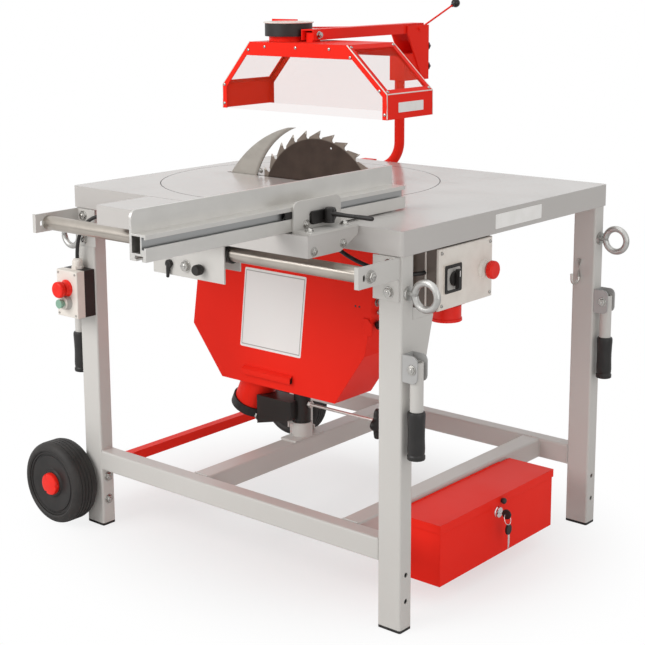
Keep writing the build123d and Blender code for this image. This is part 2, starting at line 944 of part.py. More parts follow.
def below_outline(inset, top):
    """The hood's outline drawn in by an inset, open at the bottom and cut level at a height."""
    inner = offset(hood_outline(), amount=-inset)
    foot = (hood_bottom - hood_strip, hood_bottom + hood_end_height / 2)
    middle = Pos((hood_left + hood_right) / 2, (foot[0] + foot[1]) / 2)
    inner += middle * Rectangle(hood_right - hood_left - 2 * inset, foot[1] - foot[0])
    height = top - hood_bottom + 2 * hood_strip
    keep = Pos((hood_left + hood_right) / 2, top - height / 2) * Rectangle(2 * hood_right, height)
    return inner & keep


def slope_panels(inset, sheet, depth, y):
    """A flat panel along each sloping end: drawn in at its ends and sunk below the outside by a depth."""
    shoulder = hood_bottom + hood_end_height
    for low, high in (((hood_left, shoulder), (hood_top_left, hood_top)),
                      ((hood_right, shoulder), (hood_top_right, hood_top))):
        run = (high[0] - low[0], high[1] - low[1])
        length = math.hypot(*run)
        turn = -math.degrees(math.atan2(run[1], run[0]))
        middle = Pos((low[0] + high[0]) / 2, (y[0] + y[1]) / 2, (low[1] + high[1]) / 2)
        inward = -1 if run[0] > 0 else 1
        sunk = Pos(0, 0, inward * (depth + sheet / 2))
        yield middle * Rot(0, turn, 0) * sunk * Box(length - 2 * inset, y[1] - y[0], sheet)


def hood_frame():
    back = hood_front + hood_width
    frame = prism_y(hood_outline(), (hood_front, back))
    inside = (hood_front + hood_sheet, back - hood_sheet)
    frame -= prism_y(below_outline(hood_sheet, hood_top - hood_sheet), inside)
    frame -= prism_y(below_outline(hood_strip, hood_top - hood_top_strip), past(hood_front, back))
    between = (hood_front + hood_strip, back - hood_strip)
    for opening in slope_panels(hood_strip, 6 * hood_sheet, -3 * hood_sheet, between):
        frame -= opening
    frame -= rod_z(port_x, port_y, (hood_top - 2 * hood_sheet, hood_top + cut_over), port_radius - port_wall)
    x = arm_middle(lug_y)
    lug = (x - lug_width / 2, x + lug_width / 2)
    y = (lug_y - lug_length / 2, lug_y + lug_length / 2)
    frame += block(lug, y, (hood_top, hood_top + lug_height))
    return frame - rod_x(past(*lug), lug_y, arm_pivot_z, lug_bolt_radius + push_clearance)


def hood_windows():
    back = hood_front + hood_width
    seat = hood_sheet + pane_clearance
    side = below_outline(hood_strip - pane_lap, hood_top - hood_top_strip + pane_lap)
    middle = Pos((hood_left + hood_right) / 2, hood_bottom + hood_top / 2)
    side &= middle * Rectangle(2 * hood_right, hood_top)
    yield prism_y(side, (hood_front + hood_sheet, hood_front + hood_sheet + pane_sheet))
    yield prism_y(side, (back - hood_sheet - pane_sheet, back - hood_sheet))
    between = (hood_front + seat + pane_sheet, back - seat - pane_sheet)
    yield from slope_panels(hood_strip - pane_lap, pane_sheet, hood_sheet, between)


def dust_port():
    height = (hood_top, hood_top + port_height)
    bore = rod_z(port_x, port_y, past(hood_top, height[1]), port_radius - port_wall)
    return rod_z(port_x, port_y, height, port_radius) - bore


def port_collar():
    low = hood_top + collar_lift
    ring = rod_z(port_x, port_y, (low, low + collar_height), collar_radius)
    return ring - rod_z(port_x, port_y, past(low, low + collar_height), port_radius + push_clearance)


def arm_middle(y):
    """Where the slanting arm's middle line stands along X."""
    share = (arm_pivot_y - y) / (arm_pivot_y - arm_end_y)
    return arm_pivot_x + share * (arm_end_x - arm_pivot_x)


def strip(start, end, width, z):
    """A straight bar in plan between two points, drawn out along Z."""
    run = (end[0] - start[0], end[1] - start[1])
    length = math.hypot(*run)
    middle = Pos((start[0] + end[0]) / 2, (start[1] + end[1]) / 2)
    turn = Rot(0, 0, math.degrees(math.atan2(run[1], run[0])))
    return prism_z(middle * turn * Rectangle(length, width), z)


def guard_arm():
    tail = (arm_middle(arm_pivot_y + arm_tail), arm_pivot_y + arm_tail)
    end = (arm_end_x, arm_end_y)
    top = arm_bottom + arm_height
    arm = strip(tail, end, arm_width, (arm_bottom, top))
    arm -= strip((tail[0], tail[1] + cut_over), (end[0], end[1] - cut_over), arm_width - 2 * arm_sheet,
                 (arm_bottom - cut_over, top - arm_sheet))
    start = (arm_middle(prong_start_y) - arm_width / 4, prong_start_y)
    knee = (prong_end_x + prong_lip_length, prong_y)
    prong = strip(start, knee, prong_width, (top - arm_sheet, top))
    prong += block((prong_end_x, knee[0] + prong_width / 2), (prong_y - arm_sheet, prong_y + prong_width / 2),
                   (top - arm_sheet, top))
    lip = (prong_end_x, prong_end_x + prong_lip_length)
    lip_low = hood_top + arm_sheet
    prong += block(lip, (prong_y - arm_sheet, prong_y), (lip_low, lip_low + prong_lip_height))
    arm += prong
    across = (arm_pivot_x - arm_width, arm_pivot_x + arm_width)
    arm -= rod_x(across, arm_pivot_y, arm_pivot_z, arm_pin_radius + running_clearance)
    x = arm_middle(lug_y)
    bolt = (x - arm_width / 2 - lug_bolt_end, x + arm_width / 2 + bolt_head)
    yield arm - rod_x(bolt, lug_y, arm_pivot_z, lug_bolt_radius + push_clearance)
    yield rod_x(bolt, lug_y, arm_pivot_z, lug_bolt_radius)


def guard_lever():
    """A plate on the arm's open end, with a rod that rises backward to a ball."""
    tail = arm_pivot_y + arm_tail
    back = tail + arm_sheet
    height = (arm_bottom, arm_bottom + arm_height)
    plate = strip((arm_middle(back), back), (arm_middle(tail), tail), arm_width, height)
    start = Vector(arm_middle(back), tail + arm_sheet / 2, arm_pivot_z - lever_start_below)
    end = Vector(start.X, lever_end_y, lever_end_z)
    run = end - start
    grip = Plane(start, x_dir=(1, 0, 0), z_dir=run)
    rod = extrude(grip * Circle(lever_radius), amount=run.length - ball_radius)
    yield plate + rod
    bore = extrude(grip * Circle(lever_radius + push_clearance), amount=run.length)
    yield Pos(end) * Sphere(ball_radius) - bore


def guard_bracket():
    half = bracket_gap / 2
    cheek = outline([
        (bracket_front, bracket_high),
        (bracket_back, bracket_high),
        (bracket_back, bracket_low),
        (bracket_back - 2 * post_radius, bracket_low),
        (bracket_front, bracket_lip),
    ])
    left = arm_pivot_x - half
    right = arm_pivot_x + half
    bracket = prism_x(cheek, (left - bracket_sheet, left)) + prism_x(cheek, (right, right + bracket_sheet))
    back = (bracket_back - bracket_sheet, bracket_back)
    bracket += block((left, right), back, (bracket_low, bracket_back_top))
    block_front = post_y - post_radius - bracket_sheet
    bracket += block((left, right), (block_front, bracket_back), (bracket_low, bracket_block_top))
    bore = (bracket_low - cut_over, bracket_block_top - bracket_sheet)
    bracket -= rod_z(post_x, post_y, bore, post_radius + push_clearance)
    pin = (left - bracket_sheet - arm_pin_radius, right + bracket_sheet + arm_pin_radius)
    yield bracket - rod_x(pin, arm_pivot_y, arm_pivot_z, arm_pin_radius + push_clearance)
    yield rod_x(pin, arm_pivot_y, arm_pivot_z, arm_pin_radius)
    for z in (bracket_low + 2 * bolt_across, bracket_back_top - 2 * bolt_head):
        yield bolt_head_y(right - bolt_across / 2, bracket_back, z, 1)


def guard_post():
    """One bent tube: level behind the rear skirt, then upright into the bracket."""
    points = [
        (post_x - post_run_length, post_y, post_run_z),
        (post_x, post_y, post_run_z),
        (post_x, post_y, bracket_block_top - bracket_sheet),
    ]
    path = FilletPolyline(*points, radius=post_bend)
    start = Plane(points[0], x_dir=(0, 1, 0), z_dir=(1, 0, 0))
    return sweep(start * (Circle(post_radius) - Circle(post_radius - post_wall)), path=path)


def post_clamps():
    half = post_radius + clamp_margin
    for reach in clamp_reaches:
        place = (post_x - reach - clamp_length / 2, post_x - reach + clamp_length / 2)
        body = block(place, (table_depth, post_y + half), (post_run_z - half, post_run_z + half))
        yield body - rod_x(past(*place), post_y, post_run_z, post_radius + push_clearance)


# Guide rail, support table and fence
def rail_ends():
    inside = rail_bracket_inset + rail_bracket_sheet
    return (inside, table_length - inside)


def guide_rail():
    bore = rod_x(rail_ends(), rail_y, rail_z, rail_radius - rail_wall)
    return rod_x(rail_ends(), rail_y, rail_z, rail_radius) - bore


def rail_brackets():
    """A plate at each end of the rail, with a flange on the leg and a lip in front."""
    height = (rail_bracket_low, rail_bracket_high)
    reach = (-rail_bracket_reach, leg_front)
    sheet = rail_bracket_sheet
    lip_y = (-rail_bracket_reach, -rail_bracket_reach + sheet)
    upright = Rot(0, 0, 90) * SlotOverall(rail_slot_height, rail_slot_width)
    slot = Pos(rail_y - rail_slot_ahead, rail_z) * upright
    for outer, toward in ((rail_bracket_inset, 1), (table_length - rail_bracket_inset, -1)):
        x = sorted((outer, outer + toward * sheet))
        flange = sorted((outer, outer + toward * (rail_flange_width + sheet)))
        bracket = block(x, reach, height) - prism_x(slot, past(*x))
        bracket += block(flange, (leg_front - sheet, leg_front), (rail_flange_low, rail_bracket_high))
        yield bracket + block((x[0] - rail_bracket_lip, x[0]), lip_y, height)


def carriage_table():
    x = (carriage_left, carriage_right)
    low = table_height - carriage_skirt
    tray = block(x, (carriage_front, carriage_back), (table_height - carriage_sheet, table_height))
    tray += block(x, (carriage_front, carriage_front + carriage_sheet), (low, table_height))
    cheek = outline([
        (carriage_front, low),
        (carriage_back - carriage_cut_length, low),
        (carriage_back, low + carriage_cut_height),
        (carriage_back, table_height),
        (carriage_front, table_height),
    ])
    tray += prism_x(cheek, (carriage_left, carriage_left + carriage_sheet))
    return tray + prism_x(cheek, (carriage_right - carriage_sheet, carriage_right))


def saddle_front():
    return rail_y - rail_radius - saddle_clear - saddle_sheet


def carriage_saddle():
    x = (saddle_left, saddle_right)
    under = table_height - carriage_sheet
    front = saddle_front()
    back = rail_y + rail_radius + saddle_clear
    saddle = block(x, (front, front + saddle_sheet), (saddle_front_low, under))
    saddle += block(x, (back, back + saddle_sheet), (saddle_back_low, under))
    liner_low = rail_z + rail_radius + saddle_lift
    saddle += block(x, (front, back + saddle_sheet), (liner_low, liner_low + saddle_sheet))
    for place in (knob_x, lever_x):
        through = past(front, front + saddle_sheet)
        saddle -= rod_y(place, through, saddle_control_z, spindle_radius + running_clearance)
    return saddle + bolt_head_y(saddle_bolt_x, front, saddle_control_z, -1)


def carriage_knob():
    front = saddle_front()
    knob = (front - knob_gap - knob_width, front - knob_gap)
    body = fillet_ends(rod_y(knob_x, knob, saddle_control_z, knob_radius), Axis.Y, knob_edge)
    return body + rod_y(knob_x, (knob[1], front + spindle_reach), saddle_control_z, spindle_radius)


def carriage_lever():
    front = saddle_front()
    y = (front - lever_gap - lever_sheet, front - lever_gap)
    plate = rod_y(lever_x, y, saddle_control_z, lever_width / 2)
    foot = saddle_control_z - lever_length
    plate += block((lever_x - lever_width / 2, lever_x + lever_width / 2), y, (foot, saddle_control_z))
    return plate + rod_y(lever_x, (y[1], front + spindle_reach), saddle_control_z, spindle_radius)


def fence_profile():
    """An extrusion: a tall fin, a hollow box beside it, and a T slot in the box's side and underside."""
    top = fence_low + fence_height
    box_top = fence_low + fence_box_height
    fin_right = fence_left + fence_fin
    section = outline([
        (fence_left, fence_low),
        (fence_right, fence_low),
        (fence_right, box_top),
        (fin_right, box_top),
        (fin_right, top),
        (fence_left, top),
    ])
    side_slot = slot_mouth_and_cavity()
    under_x = (fin_right + fence_right) / 2
    section -= Pos(fence_right, fence_slot_z) * side_slot
    section -= Pos(under_x, fence_low) * Rot(0, 0, -90) * side_slot
    hollow_right = fence_right - 2 * fence_wall - slot_depth
    hollow_low = fence_low + 2 * fence_wall + slot_depth
    hollow = Rectangle(hollow_right - fin_right, box_top - fence_wall - hollow_low)
    section -= Pos((fin_right + hollow_right) / 2, (hollow_low + box_top - fence_wall) / 2) * hollow
    profile = prism_y(section, (fence_front, fence_front + fence_length))
    corner = profile.edges().filter_by(Axis.X).sort_by(Axis.Z)[-2:].sort_by(Axis.Y)[0]
    return fillet(corner, fence_corner)


def slot_mouth_and_cavity():
    """A T slot that opens to the right at the origin."""
    mouth = Pos(-fence_wall / 2, 0) * Rectangle(fence_wall + 2 * cut_over, slot_mouth)
    return mouth + Pos(-fence_wall - slot_depth / 2, 0) * Rectangle(slot_depth, slot_cavity)


def fence_holder():
    """An angle on the support table, with a T bolt in the fence's side slot and a shelf for the cam."""
    x = fence_right + fence_clearance
    y = (holder_front, holder_front + holder_length)
    plate = block((x, x + holder_sheet), y, (table_height, table_height + holder_height))
    corner = plate.edges().filter_by(Axis.X).group_by(Axis.Z)[-1].sort_by(Axis.Y)
    plate = fillet(corner, holder_corner)
    plate += block((x, carriage_right), y, (table_height, table_height + holder_sheet))
    head_x = (fence_right - fence_wall - slot_depth + slot_room, fence_right - fence_wall - slot_room)
    half = slot_cavity / 2 - slot_room
    plate += rod_x((head_x[1], x), cam_y, fence_slot_z, slot_mouth / 2 - slot_room / 2)
    plate += block(head_x, (cam_y - half, cam_y + half), (fence_slot_z - half, fence_slot_z + half))
    cam_x = x + holder_sheet + cam_offset
    shelf = (cam_y - cam_shelf_width / 2, cam_y + cam_shelf_width / 2)
    plate += block((x + holder_sheet, cam_x), shelf, (cam_seat - cam_shelf, cam_seat))
    plate += rod_z(cam_x, cam_y, (cam_seat - cam_shelf, cam_seat), cam_shelf_width / 2)
    return plate + rod_z(cam_x, cam_y, (cam_seat, cam_seat + cam_hub_height), cam_pin_radius)


def clamp_lever():
    x = fence_right + fence_clearance + holder_sheet + cam_offset
    low = cam_seat + cam_lift
    high = low + cam_hub_height + cam_pin_radius
    lever_z = (low + high) / 2
    end = x + cam_lever_length
    lever = rod_z(x, cam_y, (low, high), cam_hub_radius)
    lever += rod_x((x, end - cam_grip_length), cam_y, lever_z, cam_lever_radius)
    grip = rod_x((end - cam_grip_length, end), cam_y, lever_z, cam_grip_radius)
    lever += fillet_ends(grip, Axis.X, grip_edge)
    bore_top = low + cam_hub_height + 2 * cam_lift
    return lever - rod_z(x, cam_y, (low - cut_over, bore_top), cam_pin_radius + running_clearance)


# Wheels
def axle_ends():
    return (0.0, table_depth)


def axle_bar():
    half = axle_bar_size / 2
    y = axle_ends()
    bar = block((axle_x - half, axle_x + half), y, (axle_z - half, axle_z + half))
    return bar + rod_y(axle_x, (y[0] - axle_reach, y[1] + axle_reach), axle_z, axle_radius)


def wheel_brackets():
    half = axle_bar_size / 2 + wheel_bracket_margin
    plate_x = (leg_left - wheel_bracket_plate, leg_left)
    for y in ((leg_front, leg_front + leg_width), (leg_rear - leg_width, leg_rear)):
        bracket = block(plate_x, y, (wheel_bracket_low, wheel_bracket_high))
        for web in ((y[0], y[0] + wheel_bracket_web), (y[1] - wheel_bracket_web, y[1])):
            bracket += block((axle_x - half, plate_x[0]), web, (axle_z - half, axle_z + half))
        hole = axle_bar_size / 2 + push_clearance
        bracket -= block((axle_x - hole, axle_x + hole), past(*y), (axle_z - hole, axle_z + hole))
        for z in (leg_hole_low, leg_hole_high):
            bracket -= rod_x(past(*plate_x), (y[0] + y[1]) / 2, z, leg_hole_radius)
        yield bracket


def wheel(inner_face, toward):
    """Tyre, hub and cap on one end of the axle; toward is the way that the wheel's outside faces."""
    def span(near, far):
        ends = (inner_face + toward * near, inner_face + toward * far)
        return (min(ends), max(ends))

    tyre = rod_y(axle_x, span(0, wheel_width), axle_z, wheel_radius)
    tyre = fillet_ends(tyre, Axis.Y, wheel_edge)
    yield tyre - rod_y(axle_x, span(*past(0, wheel_width)), axle_z, wheel_hub_radius)
    hub_end = wheel_width - wheel_hub_inset
    hub = rod_y(axle_x, span(wheel_hub_inset, hub_end), axle_z, wheel_hub_radius)
    hub += rod_y(axle_x, span(0, hub_end), axle_z, 2 * axle_radius)
    yield hub - rod_y(axle_x, span(-cut_over, wheel_width), axle_z, axle_radius + running_clearance)
    cap = rod_y(axle_x, span(hub_end, hub_end + wheel_cap_height), axle_z, wheel_cap_radius)
    edge = cap.edges().filter_by(GeomType.CIRCLE).sort_by(Axis.Y)[-1 if toward > 0 else 0]
    yield fillet(edge, wheel_cap_edge)


# Lifting eyes and handles
def eye_bolts():
    for toward, x, y in leg_places():
        face = x + toward * leg_length / 2
        middle = face + toward * eye_reach
        eye = Pos(middle, y, eye_z) * Rot(90, 0, 0) * Torus(eye_outer - eye_section, eye_section)
        shank = sorted((face, middle - toward * (eye_outer - eye_section)))
        eye += rod_x(shank, y, eye_z, eye_section)
        yield eye + rod_x(sorted((face, face + toward * eye_collar_width)), y, eye_z, eye_collar_radius)


def handle_half_gap():
    return handle_radius + handle_side_gap


def handle_brackets():
    height = (handle_z - handle_bracket_height / 2, handle_z + handle_bracket_height / 2)
    inside = handle_half_gap()
    outside = inside + handle_bracket_sheet
    for toward, x, y in leg_places():
        face = x + toward * leg_length / 2
        back = sorted((face, face + toward * handle_bracket_sheet))
        bracket = block(back, (y - outside, y + outside), height)
        for side in ((y - outside, y - inside), (y + inside, y + outside)):
            bracket += block(sorted((face, face + toward * handle_bracket_depth)), side, height)
        pin_x = face + toward * handle_reach
        pin = (y - outside - handle_pin_end, y + outside + handle_pin_end)
        yield bracket - rod_y(pin_x, pin, handle_z, handle_pin_radius + push_clearance)
        yield rod_y(pin_x, pin, handle_z, handle_pin_radius)


def handle(toward, x, y):
    """A tube that hangs from its pin, with a grip pushed on its lower end."""
    pin_x = x + toward * (leg_length / 2 + handle_reach)
    low = handle_z - handle_length
    tube = rod_z(pin_x, y, (low + grip_end, handle_z + handle_above), handle_radius)
    tube -= rod_z(pin_x, y, (low, handle_z + handle_above + cut_over), handle_radius - handle_wall)
    across = (y - grip_radius, y + grip_radius)
    yield tube - rod_y(pin_x, across, handle_z, handle_pin_radius + running_clearance)
    grip = fillet_ends(rod_z(pin_x, y, (low, low + grip_length), grip_radius), Axis.Z, grip_edge)
    bore = (low + grip_end, low + grip_length + cut_over)
    yield grip - rod_z(pin_x, y, bore, handle_radius + push_clearance)


# Switches, buttons and the control cable
def switch_box():
    y = (switch_front, switch_front + switch_width)
    z = (switch_low, switch_low + switch_height)
    back = block((switch_back, switch_split), y, z)
    hollow_y = (y[0] + switch_wall, y[1] - switch_wall)
    hollow_z = (z[0] + switch_wall, z[1] - switch_wall)
    yield back - block((switch_back + switch_wall, switch_split + cut_over), hollow_y, hollow_z)
    sheet = (switch_back - hanger_sheet, switch_back)
    sheet_y = (y[0] - hanger_margin, y[1] + hanger_margin)
    hanger = block(sheet, sheet_y, (z[0], plate_under))
    flange = (sheet[0], sheet[1] + switch_back_depth)
    yield hanger + block(flange, sheet_y, (plate_under - hanger_sheet, plate_under))


def switch_box_cover():
    y = (switch_front, switch_front + switch_width)
    z = (switch_low, switch_low + switch_height)
    cover = block((switch_split, switch_face), y, z)
    cover = fillet(cover.faces().sort_by(Axis.X)[-1].edges(), switch_wall)
    hollow_y = (y[0] + switch_wall, y[1] - switch_wall)
    hollow_z = (z[0] + switch_wall, z[1] - switch_wall)
    cover -= block((switch_split - cut_over, switch_face - switch_wall), hollow_y, hollow_z)
    half = dial_plate / 2
    plate = (switch_face, switch_face + dial_plate_sheet)
    cover += block(plate, (dial_y - half, dial_y + half), (dial_z - half, dial_z + half))
    collar = (switch_face, switch_face + collar_ring_height)
    cover += rod_x(collar, stop_right_y, stop_right_z, collar_ring_radius)
    through = (switch_split, collar[1] + cut_over)
    cover -= rod_x(through, stop_right_y, stop_right_z, stem_radius + running_clearance)
    return cover - rod_x(through, dial_y, dial_z, dial_shaft_radius + running_clearance)


def power_inlet():
    half = inlet_flange / 2
    flange = (switch_low - 2 * switch_wall, switch_low)
    inlet = block((inlet_x - half, inlet_x + half), (inlet_y - half, inlet_y + half), flange)
    low = switch_low - inlet_length
    inlet += rod_z(inlet_x, inlet_y, (low, flange[0]), inlet_radius)
    return inlet - rod_z(inlet_x, inlet_y, (low - cut_over, flange[0] - switch_wall), inlet_bore)


def switch_dial():
    base = switch_face + dial_plate_sheet + dial_lift
    dial = rod_x((base, base + dial_depth), dial_y, dial_z, dial_radius)
    bar_z = (dial_z - dial_radius, dial_z + dial_radius)
    bar_y = (dial_y - dial_bar_width / 2, dial_y + dial_bar_width / 2)
    dial += block((base, base + dial_bar_depth), bar_y, bar_z)
    return dial + rod_x((switch_face - dial_shaft_reach, base), dial_y, dial_z, dial_shaft_radius)


def mushroom(gap_to_collar):
    """A mushroom head over a stem, drawn along Z from the collar's rim at Z = 0."""
    head = rod_z(0, 0, (gap_to_collar, gap_to_collar + mushroom_height), mushroom_radius)
    head = fillet(head.edges().filter_by(GeomType.CIRCLE).sort_by(Axis.Z)[-1], mushroom_edge)
    return head + rod_z(0, 0, (-stem_reach, gap_to_collar), stem_radius)


def mushroom_gap():
    return button_travel + button_clear


def stop_button_right():
    middle = (switch_face + collar_ring_height, stop_right_y, stop_right_z)
    rim = Plane(middle, x_dir=(0, 1, 0), z_dir=(1, 0, 0))
    return rim.location * mushroom(mushroom_gap())


def station_place(z):
    """A plane on the button box's front, looking out along -Y."""
    return Plane((station_button_x, station_face, z), x_dir=(1, 0, 0), z_dir=(0, -1, 0))


def button_box():
    x = (station_left, station_left + station_width)
    z = (station_low, station_low + station_height)
    wall = station_wall
    back = block(x, (station_split, leg_front), z)
    hollow_z = (z[0] + wall, z[1] - wall)
    back -= block((x[0] + wall, x[1] - wall), (station_split - cut_over, leg_front - wall), hollow_z)
    yield back
    gland = rod_z(station_button_x, leg_front - gland_behind, (z[1], z[1] + gland_height), gland_radius)
    yield fillet(gland.edges().filter_by(GeomType.CIRCLE).sort_by(Axis.Z)[-1], 0.4 * gland_radius)


def button_box_cover():
    x = (station_left, station_left + station_width)
    z = (station_low, station_low + station_height)
    wall = station_wall
    cover = block(x, (station_face, station_split), z)
    cover = fillet(cover.faces().sort_by(Axis.Y)[0].edges(), wall)
    hollow_z = (z[0] + wall, z[1] - wall)
    cover -= block((x[0] + wall, x[1] - wall), (station_face + wall, station_split + cut_over), hollow_z)
    for button_z in (stop_left_z, start_z):
        front = (station_face - collar_ring_height, station_face)
        cover += rod_y(station_button_x, front, button_z, collar_ring_radius)
        through = (front[0] - cut_over, station_split)
        cover -= rod_y(station_button_x, through, button_z, stem_radius + running_clearance)
    return cover


def stop_button_left():
    rim = station_place(stop_left_z).offset(collar_ring_height)
    return rim.location * mushroom(mushroom_gap())


def start_button():
    rim = station_place(start_z).offset(collar_ring_height)
    gap = mushroom_gap()
    button = rod_z(0, 0, (gap, gap + button_height), button_radius)
    return rim.location * (button + rod_z(0, 0, (-stem_reach, gap), stem_radius))


def cable_route():
    """From the button box's gland up past the rail bracket, under the table and into the switch box."""
    start_z = station_low + station_height + gland_height
    start_y = leg_front - gland_behind
    entry_x = (switch_back + switch_split) / 2
    entry_z = switch_low + 0.6 * switch_height
    flange_right = rail_bracket_inset + rail_flange_width + rail_bracket_sheet
    inside_y = leg_front + leg_width / 2
    low = skirt_bottom - cable_below_skirt
    high = skirt_bottom + cable_above_skirt
    return [
        (station_button_x, start_y, start_z),
        (station_button_x, start_y, start_z + cable_rise),
        (flange_right, start_y, low - cable_radius),
        ((flange_right + cable_run_start) / 2, inside_y, low),
        (cable_run_start, cable_inset, high),
        (leg_right - cable_run_gap, cable_inset, high),
        (leg_right - cable_run_gap + cable_sag_reach, leg_front + leg_width, skirt_bottom - cable_sag),
        (leg_right - leg_length - cable_turn_reach, leg_front + leg_width + cable_turn_reach, entry_z),
        (entry_x, switch_front - 2 * leg_width / 3, entry_z),
        (entry_x, switch_front, entry_z),
    ]


def corner_radii(points):
    """As large a bend at each corner as its two runs allow."""
    radii = []
    for before, corner, after in zip(points, points[1:], points[2:]):
        first = Vector(corner) - Vector(before)
        second = Vector(after) - Vector(corner)
        turn = math.radians(first.get_angle(second))
        radii.append(0.45 * min(first.length, second.length) / math.tan(turn / 2))
    return radii


def control_cable():
    points = cable_route()
    path = FilletPolyline(*points, radius=corner_radii(points))
    return sweep(Plane(points[0], z_dir=(0, 0, 1)) * Circle(cable_radius), path=path)


def cable_hook():
    """A bent wire on the rear right leg, open at the top."""
    y = leg_rear - leg_width
    out = y - hook_reach
    width = (hook_x - 2 * hook_wire, hook_x + 2 * hook_wire)
    plate = block(width, (y - hook_plate, y), (hook_low, hook_high))
    points = [
        (hook_x, y - hook_plate, hook_low + 3 * hook_wire),
        (hook_x, out, hook_low + 3 * hook_wire),
        (hook_x, out, hook_high - 2 * hook_wire),
    ]
    path = FilletPolyline(*points, radius=hook_reach / 2)
    start = Plane(points[0], x_dir=(1, 0, 0), z_dir=(0, -1, 0))
    return plate + sweep(start * Circle(hook_wire), path=path)


# Tool box
def knuckles(belongs_to_lid):
    """Where the hinge's knuckles lie along Y: every second one is the lid's."""
    start = box_front + lid_knuckle_margin
    length = (box_length - 2 * lid_knuckle_margin) / lid_knuckles
    for place in range(lid_knuckles):
        if (place % 2 == 0) == belongs_to_lid:
            yield (start + place * length, start + (place + 1) * length - lid_knuckle_room)


def hinge_rods(belongs_to_lid, radius, room):
    for low, high in knuckles(belongs_to_lid):
        yield rod_y(lid_pin_x, (low - room, high + room), lid_pin_z, radius)


def tool_box():
    x = (box_left, lid_right - box_sheet - lid_clearance)
    y = (box_front + lid_clearance, box_front + box_length - lid_clearance)
    z = (box_low, box_top - box_sheet - lid_clearance)
    body = block(x, y, z)
    hollow_y = (y[0] + box_sheet, y[1] - box_sheet)
    body -= block((x[0] + box_sheet, x[1] - box_sheet), hollow_y, (z[0] + box_sheet, z[1] + cut_over))
    lock = (x[1], x[1] + box_lock_height)
    through = past(x[1] - box_sheet, lock[1])
    keyhole = rod_x(through, box_lock_y, box_lock_z, key_radius + key_hole_clearance)
    for cut in hinge_rods(True, lid_knuckle_radius + lid_clearance, lid_knuckle_room):
        body -= cut
    for knuckle in hinge_rods(False, lid_knuckle_radius, 0):
        body += knuckle
    pin = (box_front + lid_knuckle_margin, box_front + box_length - lid_knuckle_margin)
    body -= rod_y(lid_pin_x, pin, lid_pin_z, lid_pin_radius + push_clearance)
    yield rod_y(lid_pin_x, pin, lid_pin_z, lid_pin_radius)
    yield body - keyhole
    yield rod_x(lock, box_lock_y, box_lock_z, box_lock_radius) - keyhole


def tool_box_lid():
    x = (lid_pin_x, lid_right)
    y = (box_front - box_sheet, box_front + box_length + box_sheet)
    lip = (box_top - lid_lip, box_top)
    lid = block(x, y, (box_top - box_sheet, box_top))
    lid += block((x[1] - box_sheet, x[1]), y, lip)
    lid += block(x, (y[0], y[0] + box_sheet), lip)
    lid += block(x, (y[1] - box_sheet, y[1]), lip)
    for knuckle in hinge_rods(True, lid_knuckle_radius, 0):
        lid += knuckle
    for cut in hinge_rods(False, lid_knuckle_radius + lid_clearance, lid_knuckle_room):
        lid -= cut
    return lid - rod_y(lid_pin_x, y, lid_pin_z, lid_pin_radius + running_clearance)


def box_key():
    face = lid_right - box_sheet - lid_clearance + box_lock_height
    key = rod_x((face - key_reach, face + key_reach), box_lock_y, box_lock_z, key_radius)
    middle = face + key_reach + key_bow_radius - key_radius
    y = (box_lock_y - key_bow_sheet / 2, box_lock_y + key_bow_sheet / 2)
    eye = rod_y(middle + key_radius, y, box_lock_z, 2 * key_radius)
    return key + (rod_y(middle, y, box_lock_z, key_bow_radius) - eye)


# Bolts that hold the brackets to the legs
def frame_bolts():
    front = leg_front - rail_bracket_sheet
    middle_y = leg_front + leg_width / 2
    for x in (leg_left + leg_length / 2, leg_right - leg_length / 2):
        for z in (rail_flange_low + bolt_across, rail_bracket_high - bolt_across):
            yield bolt_head_y(x, front, z, -1)
    yield bolt_head_x(rail_bracket_inset, rail_y, rail_z, -1)
    yield bolt_head_x(table_length - rail_bracket_inset, rail_y, rail_z, 1)
    for y in (middle_y, leg_rear - leg_width / 2):
        for z in (leg_hole_low, leg_hole_high):
            yield bolt_head_x(leg_left - wheel_bracket_plate, y, z, -1)


os.makedirs("parts", exist_ok=True)
save("table_top", table_top())
save("legs", *legs())
save("leg_caps", *leg_caps())
save("long_beams", *long_beams())
save("cross_beams", *cross_beams())
save("pivot_socket", pivot_socket())
save("turntable_disc", turntable_disc())
save("blade_housing", blade_housing())
save("housing_cover", housing_cover())
save("pivot_sleeve", pivot_sleeve())
save("lock_screw", *lock_screw())
save("dust_outlet", dust_outlet())
save("dust_outlet_rim", dust_outlet_rim())
save("saw_blade", saw_blade())
save("blade_arbor", *blade_arbor())
save("drive_motor", *drive_motor())
save("riving_knife", riving_knife())
save("hood_frame", hood_frame())
save("hood_windows", *hood_windows())
save("dust_port", dust_port())
save("port_collar", port_collar())
save("guard_arm", *guard_arm())
save("guard_lever", *guard_lever())
save("guard_bracket", *guard_bracket())
save("guard_post", guard_post())
save("post_clamps", *post_clamps())
save("guide_rail", guide_rail())
save("rail_brackets", *rail_brackets())
save("carriage_table", carriage_table())
save("carriage_saddle", carriage_saddle())
save("carriage_knob", carriage_knob())
save("carriage_lever", carriage_lever())
save("fence_profile", fence_profile())
save("fence_holder", fence_holder())
save("clamp_lever", clamp_lever())
save("axle_bar", axle_bar())
save("wheel_brackets", *wheel_brackets())
save("front_wheel", *wheel(axle_ends()[0] - wheel_gap, -1))
save("rear_wheel", *wheel(axle_ends()[1] + wheel_gap, 1))
save("eye_bolts", *eye_bolts())
save("handle_brackets", *handle_brackets())
handle_names = ("front_left_handle", "rear_left_handle", "front_right_handle", "rear_right_handle")
for handle_name, handle_place in zip(handle_names, leg_places()):
    save(handle_name, *handle(*handle_place))
save("switch_box", *switch_box())
save("switch_box_cover", switch_box_cover())
save("power_inlet", power_inlet())
save("switch_dial", switch_dial())
